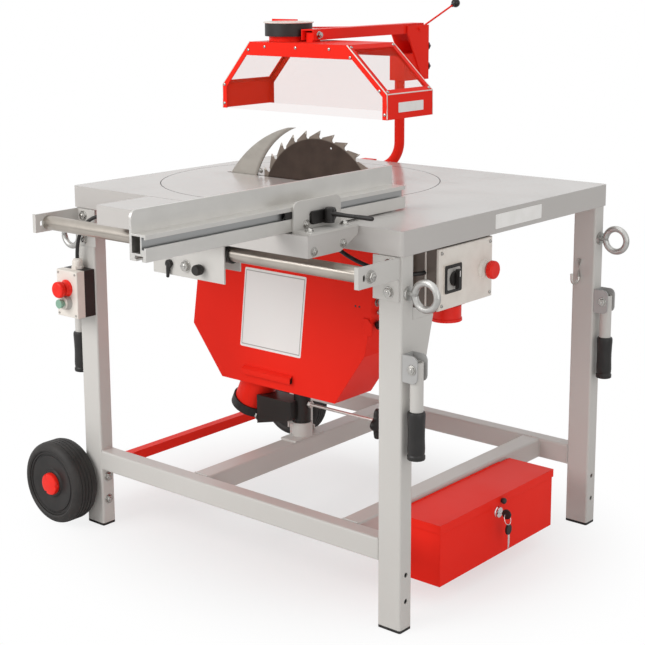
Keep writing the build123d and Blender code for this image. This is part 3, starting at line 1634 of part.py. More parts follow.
save("stop_button_right", stop_button_right())
save("button_box", *button_box())
save("button_box_cover", button_box_cover())
save("stop_button_left", stop_button_left())
save("start_button", start_button())
save("control_cable", control_cable())
save("cable_hook", cable_hook())
save("tool_box", *tool_box())
save("tool_box_lid", tool_box_lid())
save("box_key", box_key())
save("frame_bolts", *frame_bolts())
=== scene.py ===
import bmesh
import bpy
import math
from mathutils import Matrix, Vector


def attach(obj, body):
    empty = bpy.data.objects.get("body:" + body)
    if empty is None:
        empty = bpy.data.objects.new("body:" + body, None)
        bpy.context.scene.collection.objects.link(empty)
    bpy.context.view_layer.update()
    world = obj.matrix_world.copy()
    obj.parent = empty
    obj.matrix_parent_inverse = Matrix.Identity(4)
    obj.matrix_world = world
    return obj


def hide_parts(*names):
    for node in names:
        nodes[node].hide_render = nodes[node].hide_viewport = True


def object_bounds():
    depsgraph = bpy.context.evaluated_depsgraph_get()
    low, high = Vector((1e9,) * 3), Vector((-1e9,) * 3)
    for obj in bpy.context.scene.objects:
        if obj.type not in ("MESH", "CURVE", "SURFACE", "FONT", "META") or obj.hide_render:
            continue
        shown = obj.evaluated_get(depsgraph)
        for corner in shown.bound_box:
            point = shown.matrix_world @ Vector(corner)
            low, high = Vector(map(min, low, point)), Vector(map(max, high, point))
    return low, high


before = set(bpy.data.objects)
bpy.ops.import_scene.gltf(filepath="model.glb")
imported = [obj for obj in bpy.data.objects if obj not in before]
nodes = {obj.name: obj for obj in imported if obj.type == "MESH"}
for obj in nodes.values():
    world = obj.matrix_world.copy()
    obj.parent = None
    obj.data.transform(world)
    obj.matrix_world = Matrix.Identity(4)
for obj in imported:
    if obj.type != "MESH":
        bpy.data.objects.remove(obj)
cad_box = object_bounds()

MM = 0.001
IMAGE = 645

# Camera, in the saw's own frame: place in millimetres, turn in degrees, focal length in pixels, shift as a
# share of the picture's side and sensor in millimetres
CAMERA_PLACE = (2194.5, -2489.6, 1365.6)
CAMERA_AZIMUTH = 40.23
CAMERA_ELEVATION = 10.92
CAMERA_ROLL = -0.27
CAMERA_FOCAL = 1415.7
CAMERA_SHIFT = -0.12
CAMERA_SENSOR = 36.0

# Soft lamps, in metres and watts: name, place, aim, side and power
LAMPS = (("key_lamp", (-1.4, -3.9, 2.9), (0.0, 0.0, 0.6), 2.8, 116.0),
         ("fill_lamp", (4.2, -1.2, 1.3), (0.0, 0.0, 0.6), 2.5, 23.0),
         ("top_lamp", (0.2, 0.2, 4.2), (0.0, 0.0, 0.8), 3.0, 16.0))
SKY_LIGHT = 0.55

# Floor, in metres: half its side, drop under the feet, glow, and the shadow's middle, breadth and edge
FLOOR_HALF = 14.0
FLOOR_DROP = 0.0005
FLOOR_GLOW = 0.55
SHADOW_MIDDLE = 0.12
SHADOW_BREADTH = 0.85
SHADOW_EDGE = (0.36, 0.88)

# Places that several pieces share, in millimetres from the floor under the table's front left corner
BLADE_X, BLADE_Y, BLADE_Z = 431, 410, 787
PIVOT_X, PIVOT_Y = 375, 410
TABLE_HEIGHT = 860
LOCK_SCREW_Z = 287
HOUSING_FRONT = 340
HOUSING_PLATE = (340.5, HOUSING_FRONT, 532)
PLATE_SLANT = 0.107
TOOTH_COUNT = 28
HOOD_SIDES = (338.8, 513.2)
HOOD_ENDS = (182.8, 699.2)
HOOD_TOP, HOOD_BEND, HOOD_RIM = 1199.2, 1092, 1036
GUARD_ROD_X = 357.1
LEG_ROWS = (24, 796)
BEAM_LOW, BEAM_HIGH, BEAM_SEAM = 150, 196, 198
AXLE_X, AXLE_Z = -44, 108
EYE_ENDS = (-41, 1041)
EYE_Z, EYE_RADIUS = 730, 27.5
HANDLE_PIN_OUT, HANDLE_PIN_Z = 24, 578
RAIL_Y, RAIL_Z = -91, 783
SADDLE_FRONT, SADDLE_SCREW_Z = -117, 745
HOLDER_FACE = 845.3
CLAMP_X, CLAMP_Y, CLAMP_LEVER_Z = 862.3, -60, 890.8
SWITCH_FACE = 995
DIAL_Y, DIAL_Z = 177.5, 736
STATION_X, STATION_FRONT = 24.5, -52
GLAND_Y, GLAND_Z = -16, 660
CABLE_EXIT = (STATION_X, GLAND_Y, 684)
CABLE_DIAMETER = 9
BOX_LOCK_Y, BOX_LOCK_Z = 388, 152

# Finishes: depth of a fine grain and rounding of steel edges, in metres; tones of painted shade in the
# turntable's seam and the fence's side slot
GRAIN_DEPTH = 0.0003
STEEL_EDGE = 0.0006
SEAM_SHADE = (78, 70, 64)
SLOT_SHADE = (170, 171, 171)

# Meshes: points closer than this become one, in millimetres; edges sharper than this stay sharp, in degrees
MERGE_DISTANCE = 0.002
SHARP_ANGLE = 32

ORIGIN = Vector((464.0, 283.25, 0.0))
UP = (0, 0, 1)
LEFT = (-1, 0, 0)
RIGHT = (1, 0, 0)
AHEAD = (0, -1, 0)
BEHIND = (0, 1, 0)


def spot(x, y, z):
    """A place given in millimetres from the floor under the table's front left corner."""
    return (Vector((x, y, z)) - ORIGIN) * MM


class Value:
    """A shader socket that takes part in Python expressions; each one adds its Math nodes."""

    def __init__(self, owner, socket):
        self.owner = owner
        self.socket = socket

    def apply(self, operation, *operands):
        return self.owner.node("ShaderNodeMath", {"operation": operation}, *operands)

    def __add__(self, other):
        return self.apply("ADD", self, other)

    def __radd__(self, other):
        return self.apply("ADD", other, self)

    def __sub__(self, other):
        return self.apply("SUBTRACT", self, other)

    def __rsub__(self, other):
        return self.apply("SUBTRACT", other, self)

    def __mul__(self, other):
        return self.apply("MULTIPLY", self, other)

    def __rmul__(self, other):
        return self.apply("MULTIPLY", other, self)

    def __truediv__(self, other):
        return self.apply("DIVIDE", self, other)

    def __pow__(self, other):
        return self.apply("POWER", self, other)

    def __abs__(self):
        return self.apply("ABSOLUTE", self)

    def at_least(self, other):
        return self.apply("MAXIMUM", self, other)

    def sine(self):
        return self.apply("SINE", self)

    def between(self, low, high):
        """0 below low, 1 above high and a smooth step between."""
        return self.owner.node("ShaderNodeMapRange", {"interpolation_type": "SMOOTHSTEP"},
                               Value=self, **{"From Min": low, "From Max": high})


class Shading:
    """The node tree of a material or of the sky, whose nodes are all added by one method."""

    def __init__(self, owner):
        owner.use_nodes = True
        self.tree = owner.node_tree

    def link(self, value, socket):
        """Sets a socket to a number or colour, or links it to a value."""
        if isinstance(value, Value):
            self.tree.links.new(value.socket, socket)
        else:
            socket.default_value = value

    def node(self, kind, settings=None, *operands, output=0, **inputs):
        """Adds a node, sets its settings first and then its sockets, by order or by name."""
        node = self.tree.nodes.new(kind)
        for key, setting in (settings or {}).items():
            setattr(node, key, setting)
        for index, operand in enumerate(operands):
            self.link(operand, node.inputs[index])
        for name, value in inputs.items():
            self.link(value, node.inputs[name])
        return Value(self, node.outputs[output])


class Finish(Shading):
    """One surface finish: a material and what its finish is made of."""

    def __init__(self, name):
        self.material = bpy.data.materials.new(name)
        super().__init__(self.material)
        self.shader = self.tree.nodes["Principled BSDF"]
        self.places = None

    def place(self):
        """The point of the surface in the saw's frame, in metres, at rest."""
        if self.places is None:
            self.places = self.node("ShaderNodeTexCoord", output="Object")
        return self.places

    def along(self, axis):
        return self.node("ShaderNodeSeparateXYZ", None, self.place(), output="XYZ".index(axis))

    def distance_from(self, place, axes):
        """How far the surface lies from a place across the two axes named, in metres."""
        first, second = (self.along(axis) - place["XYZ".index(axis)] for axis in axes)
        return (first * first + second * second) ** 0.5

    def scaled(self, x, y, z):
        return self.node("ShaderNodeVectorMath", {"operation": "MULTIPLY"}, self.place(), (x, y, z))

    def noise(self, scale, detail=2.0, roughness=0.5, stretch=(1, 1, 1)):
        return self.node("ShaderNodeTexNoise", None, Vector=self.scaled(*stretch), Scale=scale, Detail=detail,
                         Roughness=roughness)

    def mix(self, share, first, second):
        node = self.node("ShaderNodeMix", {"data_type": "RGBA"})
        mixer = node.socket.node
        self.link(share, mixer.inputs[0])
        self.link(first, mixer.inputs[6])
        self.link(second, mixer.inputs[7])
        return Value(self, mixer.outputs[2])

    def bump(self, height, strength, distance, normal=None):
        value = self.node("ShaderNodeBump", None, Height=height, Strength=strength, Distance=distance)
        if normal is not None:
            self.link(normal, value.socket.node.inputs["Normal"])
        return value

    def soft_edges(self, radius):
        return self.node("ShaderNodeBevel", {"samples": 4}, Radius=radius)

    def done(self, **sockets):
        """Feeds the surface shader: spaces in socket names are written as underscores."""
        for name, value in sockets.items():
            self.link(value, self.shader.inputs[name.replace("_", " ")])
        return self.material


def colour(red, green, blue):
    """A colour given as it shows on a screen, 0 to 255, as linear light."""
    def linear(value):
        share = value / 255
        return share / 12.92 if share <= 0.04045 else ((share + 0.055) / 1.055) ** 2.4
    return (linear(red), linear(green), linear(blue), 1.0)


# Finishes
def sprayed_enamel(name, base, shade, gloss, shine=0.4, painted_shade=None):
    """Sprayed and baked paint: faint cloudy tone, orange peel, a duller bloom and rounded sheet edges."""
    finish = Finish(name)
    cloud = finish.noise(3.0, 3.0)
    peel = finish.noise(700.0, 1.0)
    bloom = finish.noise(9.0, 3.0)
    tone = finish.mix(cloud.between(0.3, 0.75), base, shade)
    # Where the mask passed in says, the tone turns to a painted shade colour
    if painted_shade is not None:
        tone = finish.mix(painted_shade(finish), tone, colour(*SEAM_SHADE))
    normal = finish.bump(peel, 0.02, GRAIN_DEPTH, finish.soft_edges(0.0012))
    return finish.done(Base_Color=tone, Roughness=gloss + 0.08 * bloom.between(0.35, 0.75), Normal=normal,
                       Specular_IOR_Level=shine)


def moulded_plastic(name, base, shade, gloss, grain=0.12, shine=0.4):
    """Moulded plastic with a fine sparked grain."""
    finish = Finish(name)
    sparks = finish.noise(1500.0, 2.0)
    cloud = finish.noise(30.0, 3.0)
    tone = finish.mix(cloud.between(0.35, 0.7), base, shade)
    normal = finish.bump(sparks, grain, GRAIN_DEPTH, finish.soft_edges(0.0008))
    return finish.done(Base_Color=tone, Roughness=gloss + 0.1 * cloud, Normal=normal,
                       Specular_IOR_Level=shine)


def plated_steel(name, base, shade, gloss, stretch=(1, 1, 1), uneven=0.08, painted_shade=None):
    """Plated or bare steel: cloudy plating, fine lines drawn along one way and soft edges."""
    finish = Finish(name)
    lines = finish.noise(160.0, 3.0, 0.6, stretch)
    cloud = finish.noise(18.0, 3.0)
    tone = finish.mix(cloud.between(0.3, 0.75), base, shade)
    # Where the mask passed in says, the tone turns to a painted shade colour
    if painted_shade is not None:
        tone = finish.mix(painted_shade(finish), tone, colour(*SLOT_SHADE))
    normal = finish.bump(lines, 0.4 * uneven, GRAIN_DEPTH, finish.soft_edges(STEEL_EDGE))
    return finish.done(Base_Color=tone, Metallic=1.0, Roughness=gloss + uneven * lines.between(0.35, 0.7),
                       Normal=normal)


def clear_sheet(name):
    """Clear sheet with a warm tint, faint scuffs and mirror-like faces."""
    finish = Finish(name)
    scuffs = finish.noise(90.0, 4.0, 0.6)
    haze = scuffs.between(0.55, 0.8)
    return finish.done(Base_Color=colour(190, 84, 40), Roughness=0.06 + 0.1 * haze,
                       Alpha=0.065 + 0.015 * haze, Specular_IOR_Level=0.5)


def ground_blade(name):
    """Sawblade plate: ground rings round the arbor, a dark baked middle and a brighter toothed rim."""
    finish = Finish(name)
    radius = finish.distance_from(spot(BLADE_X, BLADE_Y, BLADE_Z), "XZ")
    rings = (radius * 2600.0).sine() * 0.5 + 0.5
    cloud = finish.noise(24.0, 4.0)
    rim = radius.between(0.177, 0.182)
    baked = finish.mix(cloud.between(0.3, 0.75), colour(74, 61, 54), colour(63, 52, 46))
    bright = finish.mix(cloud.between(0.3, 0.75), colour(140, 128, 118), colour(124, 113, 104))
    return finish.done(Base_Color=finish.mix(rim, baked, bright), Metallic=0.8,
                       Roughness=0.36 + 0.1 * rings - 0.06 * rim, Normal=finish.bump(rings, 0.05, 0.0002))


def curved_knife(name):
    """Riving knife: light ground steel with a darker band along the edge that faces the blade."""
    finish = Finish(name)
    radius = finish.distance_from(spot(BLADE_X, BLADE_Y, BLADE_Z), "XZ")
    lines = finish.noise(180.0, 3.0, 0.6, (0.3, 1, 1))
    near = 1 - radius.between(0.214, 0.226)
    tone = finish.mix(near, colour(178, 173, 165), colour(142, 135, 127))
    return finish.done(Base_Color=tone, Metallic=0.7, Roughness=0.3 + 0.16 * lines.between(0.35, 0.7),
                       Normal=finish.bump(lines, 0.06, GRAIN_DEPTH, finish.soft_edges(STEEL_EDGE)))


def parted(name, second, base, other, gloss):
    """Two finishes on one piece: second says, from the finish, where the other one lies."""
    finish = Finish(name)
    cloud = finish.noise(12.0, 3.0)
    tone = finish.mix(second(finish), base, other)
    tone = finish.mix(0.1 * cloud, tone, (0.0, 0.0, 0.0, 1.0))
    grain = finish.noise(900.0, 2.0)
    return finish.done(Base_Color=tone, Roughness=gloss + 0.1 * cloud,
                       Normal=finish.bump(grain, 0.05, GRAIN_DEPTH, finish.soft_edges(0.001)),
                       Specular_IOR_Level=0.4)


def bordered(name):
    """A white slanting plate with a thin grey line inside its rim."""
    finish = Finish(name)
    middle = spot(*HOUSING_PLATE)
    up = finish.along("Z") - middle.z
    across = finish.along("X") - middle.x - PLATE_SLANT * up
    reach = abs(across).at_least(abs(up))
    line = reach.between(0.0955, 0.096) * (1 - reach.between(0.098, 0.0985))
    tone = finish.mix(line, colour(246, 244, 241), colour(176, 172, 168))
    cloud = finish.noise(20.0, 3.0)
    return finish.done(Base_Color=tone, Roughness=0.3 + 0.12 * cloud, Specular_IOR_Level=0.4)


def round_seam(finish):
    """Says where the seam round the turntable is painted dark, as painted shade in its gap."""
    radius = finish.distance_from(spot(PIVOT_X, PIVOT_Y, TABLE_HEIGHT), "XY")
    return radius.between(0.3422, 0.3432) * (1 - radius.between(0.3455, 0.3465))


grey_paint = sprayed_enamel("grey_enamel", colour(203, 200, 195), colour(198, 195, 190), 0.3, 0.42)
# Table grey: a darker copy of the frame's grey, as painted dark reflection on the glossy top; round_seam adds
# painted shade in the turntable's seam
table_paint = sprayed_enamel("table_enamel", colour(194, 190, 186), colour(189, 185, 181), 0.19, 0.45,
                             painted_shade=round_seam)
satin_grey = sprayed_enamel("satin_grey", colour(178, 177, 175), colour(170, 169, 167), 0.3, 0.6)
red_paint = sprayed_enamel("red_enamel", colour(248, 47, 33), colour(243, 43, 30), 0.32, 0.06)
black_paint = sprayed_enamel("black_enamel", colour(38, 34, 31), colour(31, 28, 26), 0.34)
black_plastic = moulded_plastic("black_plastic", colour(34, 31, 29), colour(28, 26, 25), 0.42)
black_gloss = moulded_plastic("black_gloss", colour(24, 22, 21), colour(18, 17, 16), 0.12, 0.02)
black_rubber = moulded_plastic("black_rubber", colour(36, 34, 33), colour(29, 28, 27), 0.36, 0.06)
cable_rubber = moulded_plastic("cable_rubber", colour(34, 32, 31), colour(28, 26, 25), 0.45, 0.15)
cream_plastic = moulded_plastic("cream_plastic", colour(231, 224, 215), colour(225, 217, 208), 0.38)
pale_plastic = moulded_plastic("pale_plastic", colour(236, 230, 222), colour(228, 221, 213), 0.4)
dial_grey = moulded_plastic("dial_grey", colour(176, 173, 168), colour(168, 164, 159), 0.36)
white_plate = moulded_plastic("white_plate", colour(244, 242, 239), colour(238, 236, 232), 0.3, 0.04)
bordered_plate = bordered("bordered_plate")
red_plastic = moulded_plastic("red_plastic", colour(240, 38, 24), colour(232, 34, 22), 0.28, 0.06, 0.24)
green_plastic = moulded_plastic("green_plastic", colour(140, 176, 156), colour(128, 166, 145), 0.3, 0.06)
tyre_rubber = moulded_plastic("tyre_rubber", colour(44, 41, 39), colour(36, 34, 33), 0.55, 0.2)
zinc_plate = plated_steel("zinc_plate", colour(184, 182, 178), colour(164, 162, 158), 0.12)
chrome = plated_steel("chrome", colour(226, 226, 226), colour(216, 216, 216), 0.1, uneven=0.04)
galvanised = plated_steel("galvanised", colour(196, 195, 192), colour(172, 171, 168), 0.36, uneven=0.16)
rod_steel = plated_steel("rod_steel", colour(214, 211, 206), colour(204, 201, 196), 0.44)
drawn_steel = plated_steel("drawn_steel", colour(182, 175, 166), colour(170, 163, 154), 0.28, (0.05, 1, 1))
tip_metal = plated_steel("tip_metal", colour(200, 192, 182), colour(182, 174, 165), 0.28)
blade_steel = ground_blade("blade_steel")
knife_steel = curved_knife("knife_steel")
clear_pane = clear_sheet("clear_pane")
motor_paint = sprayed_enamel("motor_paint", colour(96, 98, 100), colour(84, 86, 88), 0.4)


def past_place(axis, place, soft=0.4):
    """Says, from a finish, what lies beyond a place along one axis, counted from the table's corner."""
    limit = spot(place, place, place)["XYZ".index(axis)]
    return lambda finish: finish.along(axis).between(limit, limit + soft * MM)


def above_foot(finish):
    """Says where the fence's holder rises, black, above its grey foot."""
    return past_place("X", 846)(finish) * past_place("Z", 866)(finish)


def in_side_slot(finish):
    """Says where the floor of the fence's side slot lies, painted darker as shade in the slot."""
    across = past_place("X", 830)(finish) * (1 - past_place("X", 836.6)(finish))
    return across * past_place("Z", 884)(finish) * (1 - past_place("Z", 907.5)(finish))


# The floor of the fence's side slot gets painted shade
aluminium = plated_steel("drawn_aluminium", colour(214, 212, 208), colour(209, 207, 203), 0.36,
                         (1, 0.03, 1), 0.05, in_side_slot)
motor_parts = parted("motor_parts", past_place("Y", 662, 2), colour(96, 98, 100), colour(38, 37, 36), 0.42)
switch_parts = parted("switch_parts", past_place("X", 929.4, 1), colour(200, 197, 192),
                      colour(112, 100, 91), 0.36)
holder_parts = parted("holder_parts", above_foot, colour(206, 203, 198), colour(38, 35, 33), 0.34)

NODE_FINISHES = {
    grey_paint: ("legs", "long_beams", "cross_beams", "pivot_socket", "rail_brackets", "wheel_brackets",
                 "carriage_saddle"),
    table_paint: ("table_top", "turntable_disc", "carriage_table"),
    galvanised: ("eye_bolts",),
    red_paint: ("blade_housing", "housing_cover", "dust_outlet", "guard_post", "guard_bracket", "guard_arm",
                "hood_frame", "dust_port", "axle_bar", "tool_box", "tool_box_lid", "post_clamps"),
    black_paint: ("pivot_sleeve",),
    black_plastic: ("leg_caps", "dust_outlet_rim", "port_collar", "button_box"),
    drawn_steel: ("guide_rail", "blade_arbor"),
    knife_steel: ("riving_knife",),
    blade_steel: ("saw_blade",),
    aluminium: ("fence_profile",),
    cream_plastic: ("switch_box_cover", "button_box_cover"),
    red_plastic: ("stop_button_right", "stop_button_left", "power_inlet"),
    green_plastic: ("start_button",),
    clear_pane: ("hood_windows",),
    motor_parts: ("drive_motor",),
    switch_parts: ("switch_box",),
    holder_parts: ("fence_holder",),
}


def paint_nodes():
    """Gives each node of the solid model its finish."""
    for material, names in NODE_FINISHES.items():
        for name in names:
            slots = nodes[name].data.materials
            slots.clear()
            slots.append(material)


# Forms
def rounded(width, height, radius, steps=5):
    """Outline of a rectangle about its middle, with rounded corners."""
    points = []
    for quarter, (x, y) in enumerate(((1, 1), (-1, 1), (-1, -1), (1, -1))):
        for step in range(steps + 1):
            angle = math.pi / 2 * (quarter + step / steps)
            points.append((x * (width / 2 - radius) + radius * math.cos(angle),
                           y * (height / 2 - radius) + radius * math.sin(angle)))
    return points


class Shape:
    """A mesh put together from turned, drawn-out and bent forms, in the table's millimetres."""

    def __init__(self):
        self.mesh = bmesh.new()

    def skin(self, rings):
        """Joins rings of points by faces; a ring of one point closes an end."""
        rows = [[self.mesh.verts.new(point) for point in ring] for ring in rings]
        for low, high in zip(rows, rows[1:]):
            for place in range(max(len(low), len(high))):
                after = place + 1
                corners = (low[place % len(low)], low[after % len(low)], high[after % len(high)],
                           high[place % len(high)])
                face = list(dict.fromkeys(corners))
                if len(face) > 2:
                    self.mesh.faces.new(face)

    def turned(self, base, axis, profile, steps=40, swell=None):
        """A round form from radii and distances along its axis; swell changes a radius by its angle."""
        turn = Vector(axis).to_track_quat("Z", "Y").to_matrix()
        rings = []
        for radius, along in profile:
            count = steps if radius else 1
            ring = []
            for step in range(count):
                angle = 2 * math.pi * step / count
                wide = radius * swell(angle, along) if swell else radius
                point = Vector((wide * math.cos(angle), wide * math.sin(angle), along))
                ring.append(Vector(base) + turn @ point)
            rings.append(ring)
        self.skin(rings)

    def plate(self, points, base, across, up, thick, edge=0.4):
        """A flat outline drawn out by its thickness, with its rims eased."""
        across = Vector(across)
        up = Vector(up)
        out = across.cross(up) * thick
        low = [self.mesh.verts.new(Vector(base) + across * x + up * y) for x, y in points]
        high = [self.mesh.verts.new(vertex.co + out) for vertex in low]
        caps = [self.mesh.faces.new(low), self.mesh.faces.new(high)]
        for place in range(len(low)):
            after = (place + 1) % len(low)
            self.mesh.faces.new((low[place], low[after], high[after], high[place]))
        rims = {rim for cap in caps for rim in cap.edges}
        bmesh.ops.bevel(self.mesh, geom=list(rims), offset=edge, segments=2, affect="EDGES",
                        clamp_overlap=True)

    def rod(self, points, radii, steps=14):
        """A rod that follows points, with one radius or one for each point."""
        path = [Vector(point) for point in points]
        if not isinstance(radii, (list, tuple)):
            radii = [radii] * len(path)
        rings = [[path[0]]]
        for place, point in enumerate(path):
            way = path[min(place + 1, len(path) - 1)] - path[max(place - 1, 0)]
            turn = way.to_track_quat("Z", "Y").to_matrix()
            ring = []
            for step in range(steps):
                angle = 2 * math.pi * step / steps
                offset = Vector((math.cos(angle), math.sin(angle), 0)) * radii[place]
                ring.append(point + turn @ offset)
            rings.append(ring)
        rings.append([path[-1]])
        self.skin(rings)

    def hex_bolt(self, place, toward, across=17.0, height=7.0):
        """A hexagon head with a washer under it and the end of its thread."""
        washer = 0.72 * across
        corner = across / math.sqrt(3)
        self.turned(place, toward, [(0, 0), (washer, 0), (washer, 1.2), (washer - 0.5, 1.7), (0, 1.7)], 28)
        head = [(0, 1), (corner, 1), (corner, height - 1), (0.87 * corner, height), (0, height)]
        self.turned(place, toward, head, 6)
        self.turned(place, toward, [(0, height - 1), (0.3 * across, height - 1), (0.3 * across, height + 1.2),
                                    (0.24 * across, height + 1.8), (0, height + 1.8)], 20)

    def pan_screw(self, place, toward, radius=4.5):
        """A domed screw head with a sunk drive."""
        profile = [(0, 0), (1, 0), (1, 0.22), (0.86, 0.48), (0.5, 0.66), (0.4, 0.66), (0.32, 0.3), (0, 0.3)]
        self.turned(place, toward, [(radius * wide, radius * high) for wide, high in profile], 20)

    def bead(self, start, end):
        """A row of weld ripples along a straight seam."""
        start = Vector(start)
        run = Vector(end) - start
        count = max(int(run.length / 2.5), 4)
        path = [start + run * (step / count) for step in range(count + 1)]
        self.rod(path, [1.7 + 0.7 * (step % 2) for step in range(count + 1)], 8)


def piece(name, shape, body, finish, replaces=()):
    """Makes an object of a shape, smooth between its real corners, and sets it on its body."""
    bmesh.ops.remove_doubles(shape.mesh, verts=shape.mesh.verts, dist=MERGE_DISTANCE)
    bmesh.ops.recalc_face_normals(shape.mesh, faces=shape.mesh.faces)
    for vertex in shape.mesh.verts:
        vertex.co = (vertex.co - ORIGIN) * MM
    mesh = bpy.data.meshes.new(name)
    shape.mesh.to_mesh(mesh)
    shape.mesh.free()
    mesh.polygons.foreach_set("use_smooth", [True] * len(mesh.polygons))
    mesh.set_sharp_from_angle(angle=math.radians(SHARP_ANGLE))
    mesh.materials.append(finish)
    thing = bpy.data.objects.new(name, mesh)
    bpy.context.scene.collection.objects.link(thing)
    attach(thing, body)
    if replaces:
        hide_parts(*replaces)


def turned_piece(name, body, finish, base, axis, profile, steps, swell=None, replaces=()):
    """A piece of one turned form."""
    shape = Shape()
    shape.turned(base, axis, profile, steps, swell)
    piece(name, shape, body, finish, replaces)


def plate_piece(name, body, finish, points, base, across, thick, edge, replaces=()):
    """A piece of one upright plate."""
    shape = Shape()
    shape.plate(points, base, across, UP, thick, edge)
    piece(name, shape, body, finish, replaces)


# Wheels and handles
def wheel(end, inner_face, toward):
    """A ribbed tyre, a dished hub and a notched cap."""
    body = end + "_wheel_body"
    node = end + "_wheel"
    base = (AXLE_X, inner_face, AXLE_Z)
    axis = (0, toward, 0)
    tread = [(82, 5), (86, 1.5), (91, 0.5), (97, 2.5), (101, 7), (103, 12)]
    for rib in range(4):
        start = 16 + 10 * rib
        tread += [(104, start), (104, start + 7), (102.4, start + 7.5), (102.4, start + 9.5)]
    for step in range(9):
        angle = math.pi / 2 * step / 8
        tread.append((86 + 17.6 * math.cos(angle), 55 + 16.6 * math.sin(angle)))
    tread += [(82, 69), (82, 5)]
    turned_piece(end + "_tyre", body, tyre_rubber, base, axis, tread, 96, replaces=[node])
    dish = [(10.1, 0), (20, 0), (20, 5), (82.5, 5), (82.5, 66), (81, 67.5), (77, 67.5), (75.6, 65), (73, 65)]
    dish += [(71.6, 67), (66, 67), (48, 63.5), (36, 63), (33, 66.5), (10.1, 66.5), (10.1, 0)]
    turned_piece(end + "_hub", body, black_plastic, base, axis, dish, 80, replaces=[node])

    def notched(angle, along):
        return 0.87 if along > 70 and abs((angle * 3 / (2 * math.pi) + 0.5) % 1 - 0.5) < 0.035 else 1.0

    crown = [(0, 66), (28, 66), (28, 69), (28, 73), (26.5, 76), (23, 76.8), (0, 77)]
    turned_piece(end + "_cap", body, red_plastic, base, axis, crown, 90, notched, [node])


# Name, way out from the leg, the leg's outer face and the leg's middle
HANDLE_PLACES = (("front_left", -1, 4, LEG_ROWS[0]), ("rear_left", -1, 4, LEG_ROWS[1]),
                 ("front_right", 1, 996, LEG_ROWS[0]), ("rear_right", 1, 996, LEG_ROWS[1]))


def handle(name, toward, face, y):
    """A grey tube with a waisted grip at its lower end."""
    x = face + toward * HANDLE_PIN_OUT
    node = name + "_handle"
    body = name + "_carry"
    profile = [(11, 0), (14, 0), (14, 203), (13, 204), (11, 204), (11, 0)]
    turned_piece(name + "_handle_tube", body, grey_paint, (x, y, 388), UP, profile, 44,
                 replaces=[node])
    profile = [(0, 0), (15, 0), (18.4, 1.2), (19, 3.5), (19, 9), (17.8, 10.4), (17.2, 12.5), (18, 15)]
    profile += [(18.4, 24), (17.6, 46), (17.6, 60), (18.4, 82), (19, 92), (19, 98), (17.8, 101.6)]
    profile += [(15, 103), (0, 103)]
    turned_piece(name + "_handle_grip", body, black_rubber, (x, y, 385), UP, profile, 44,
                 replaces=[node])


def handle_brackets():
    """Folded cheeks with rounded corners and the pins that the handles hang on."""
    cheeks = Shape()
    pins = Shape()
    half = rounded(76, 58, 13)
    outline = [(0, -29)] + [point for point in half if point[0] > 0] + [(0, 29)]
    outline = sorted(set(outline), key=lambda point: math.atan2(point[1], point[0] - 5))
    for _, toward, face, y in HANDLE_PLACES:
        for side in (-18, 15):
            base = (face, y + side + (3 if toward > 0 else 0), HANDLE_PIN_Z)
            cheeks.plate(outline, base, (toward, 0, 0), UP, 3)
        cheeks.plate(rounded(34, 58, 2), (face, y, HANDLE_PIN_Z), BEHIND, UP, 3 * toward)
        x = face + toward * HANDLE_PIN_OUT
        pins.rod([(x, y - 19, HANDLE_PIN_Z), (x, y + 19, HANDLE_PIN_Z)], 5, 20)
        pins.hex_bolt((x, y - 18, HANDLE_PIN_Z), AHEAD, 15, 5)
        pins.hex_bolt((x, y + 18, HANDLE_PIN_Z), BEHIND, 15, 5)
    piece("handle_cheeks", cheeks, "frame", satin_grey, ["handle_brackets"])
    piece("handle_pins", pins, "frame", zinc_plate, ["handle_brackets"])


# Frame: bolts, welds and bare plates
def frame_bolts():
    """Bolts of the rail brackets, the rail and the wheel brackets, and a black sheet in the right slot as
    painted shade.
    """
    bolts = Shape()
    for x in (34, 966):
        for z in (732, 789):
            bolts.hex_bolt((x, 0, z), AHEAD)
    bolts.hex_bolt((9, RAIL_Y, RAIL_Z), LEFT, 19, 8)
    bolts.hex_bolt((991, RAIL_Y, RAIL_Z), RIGHT, 19, 8)
    for y in LEG_ROWS:
        for z in (67, 126):
            bolts.hex_bolt((-2, y, z), LEFT)
            bolts.hex_bolt((64, y, z), RIGHT)
    piece("bracket_bolts", bolts, "frame", zinc_plate, ["frame_bolts"])
    # A black sheet in the right bracket's slot: painted shade where the slot is open
    plate_piece("slot_shade_sheet", "frame", black_paint, rounded(7.6, 12.6, 3.6),
                (987.2, -111, RAIL_Z), BEHIND, 1.5, 0.2)


def weld_seams():
    """Beads where the beams meet the legs and each other, and the ear of the leg's corner plate."""
    beads = Shape()
    for x in (64, 936):
        for y, outer in ((5, 44), (815, 776)):
            beads.bead((x, y, BEAM_LOW), (x, y, BEAM_HIGH))
            beads.bead((x, outer, BEAM_LOW), (x, outer, BEAM_HIGH))
            beads.bead((x, min(y - 1, outer) + 4, BEAM_SEAM), (x, max(y + 1, outer) - 4, BEAM_SEAM))
    for x in (350, 400, 805, 855):
        for y in (44, 776):
            beads.bead((x, y, BEAM_LOW), (x, y, BEAM_HIGH))
    for low in (350, 805):
        for y in (44, 776):
            beads.bead((low + 4, y, BEAM_SEAM), (low + 46, y, BEAM_SEAM))
    for x in (350, 400):
        beads.bead((x, 358, BEAM_SEAM), (x, 462, BEAM_SEAM))
    piece("weld_beads", beads, "frame", grey_paint)
    ear = [(0, 0), (70, 0), (66, 5), (30, 17), (0, 26)]
    plate_piece("gusset_ear", "frame", grey_paint, ear, (993.4, 42, 671.5), BEHIND, 2.4, 0.3)


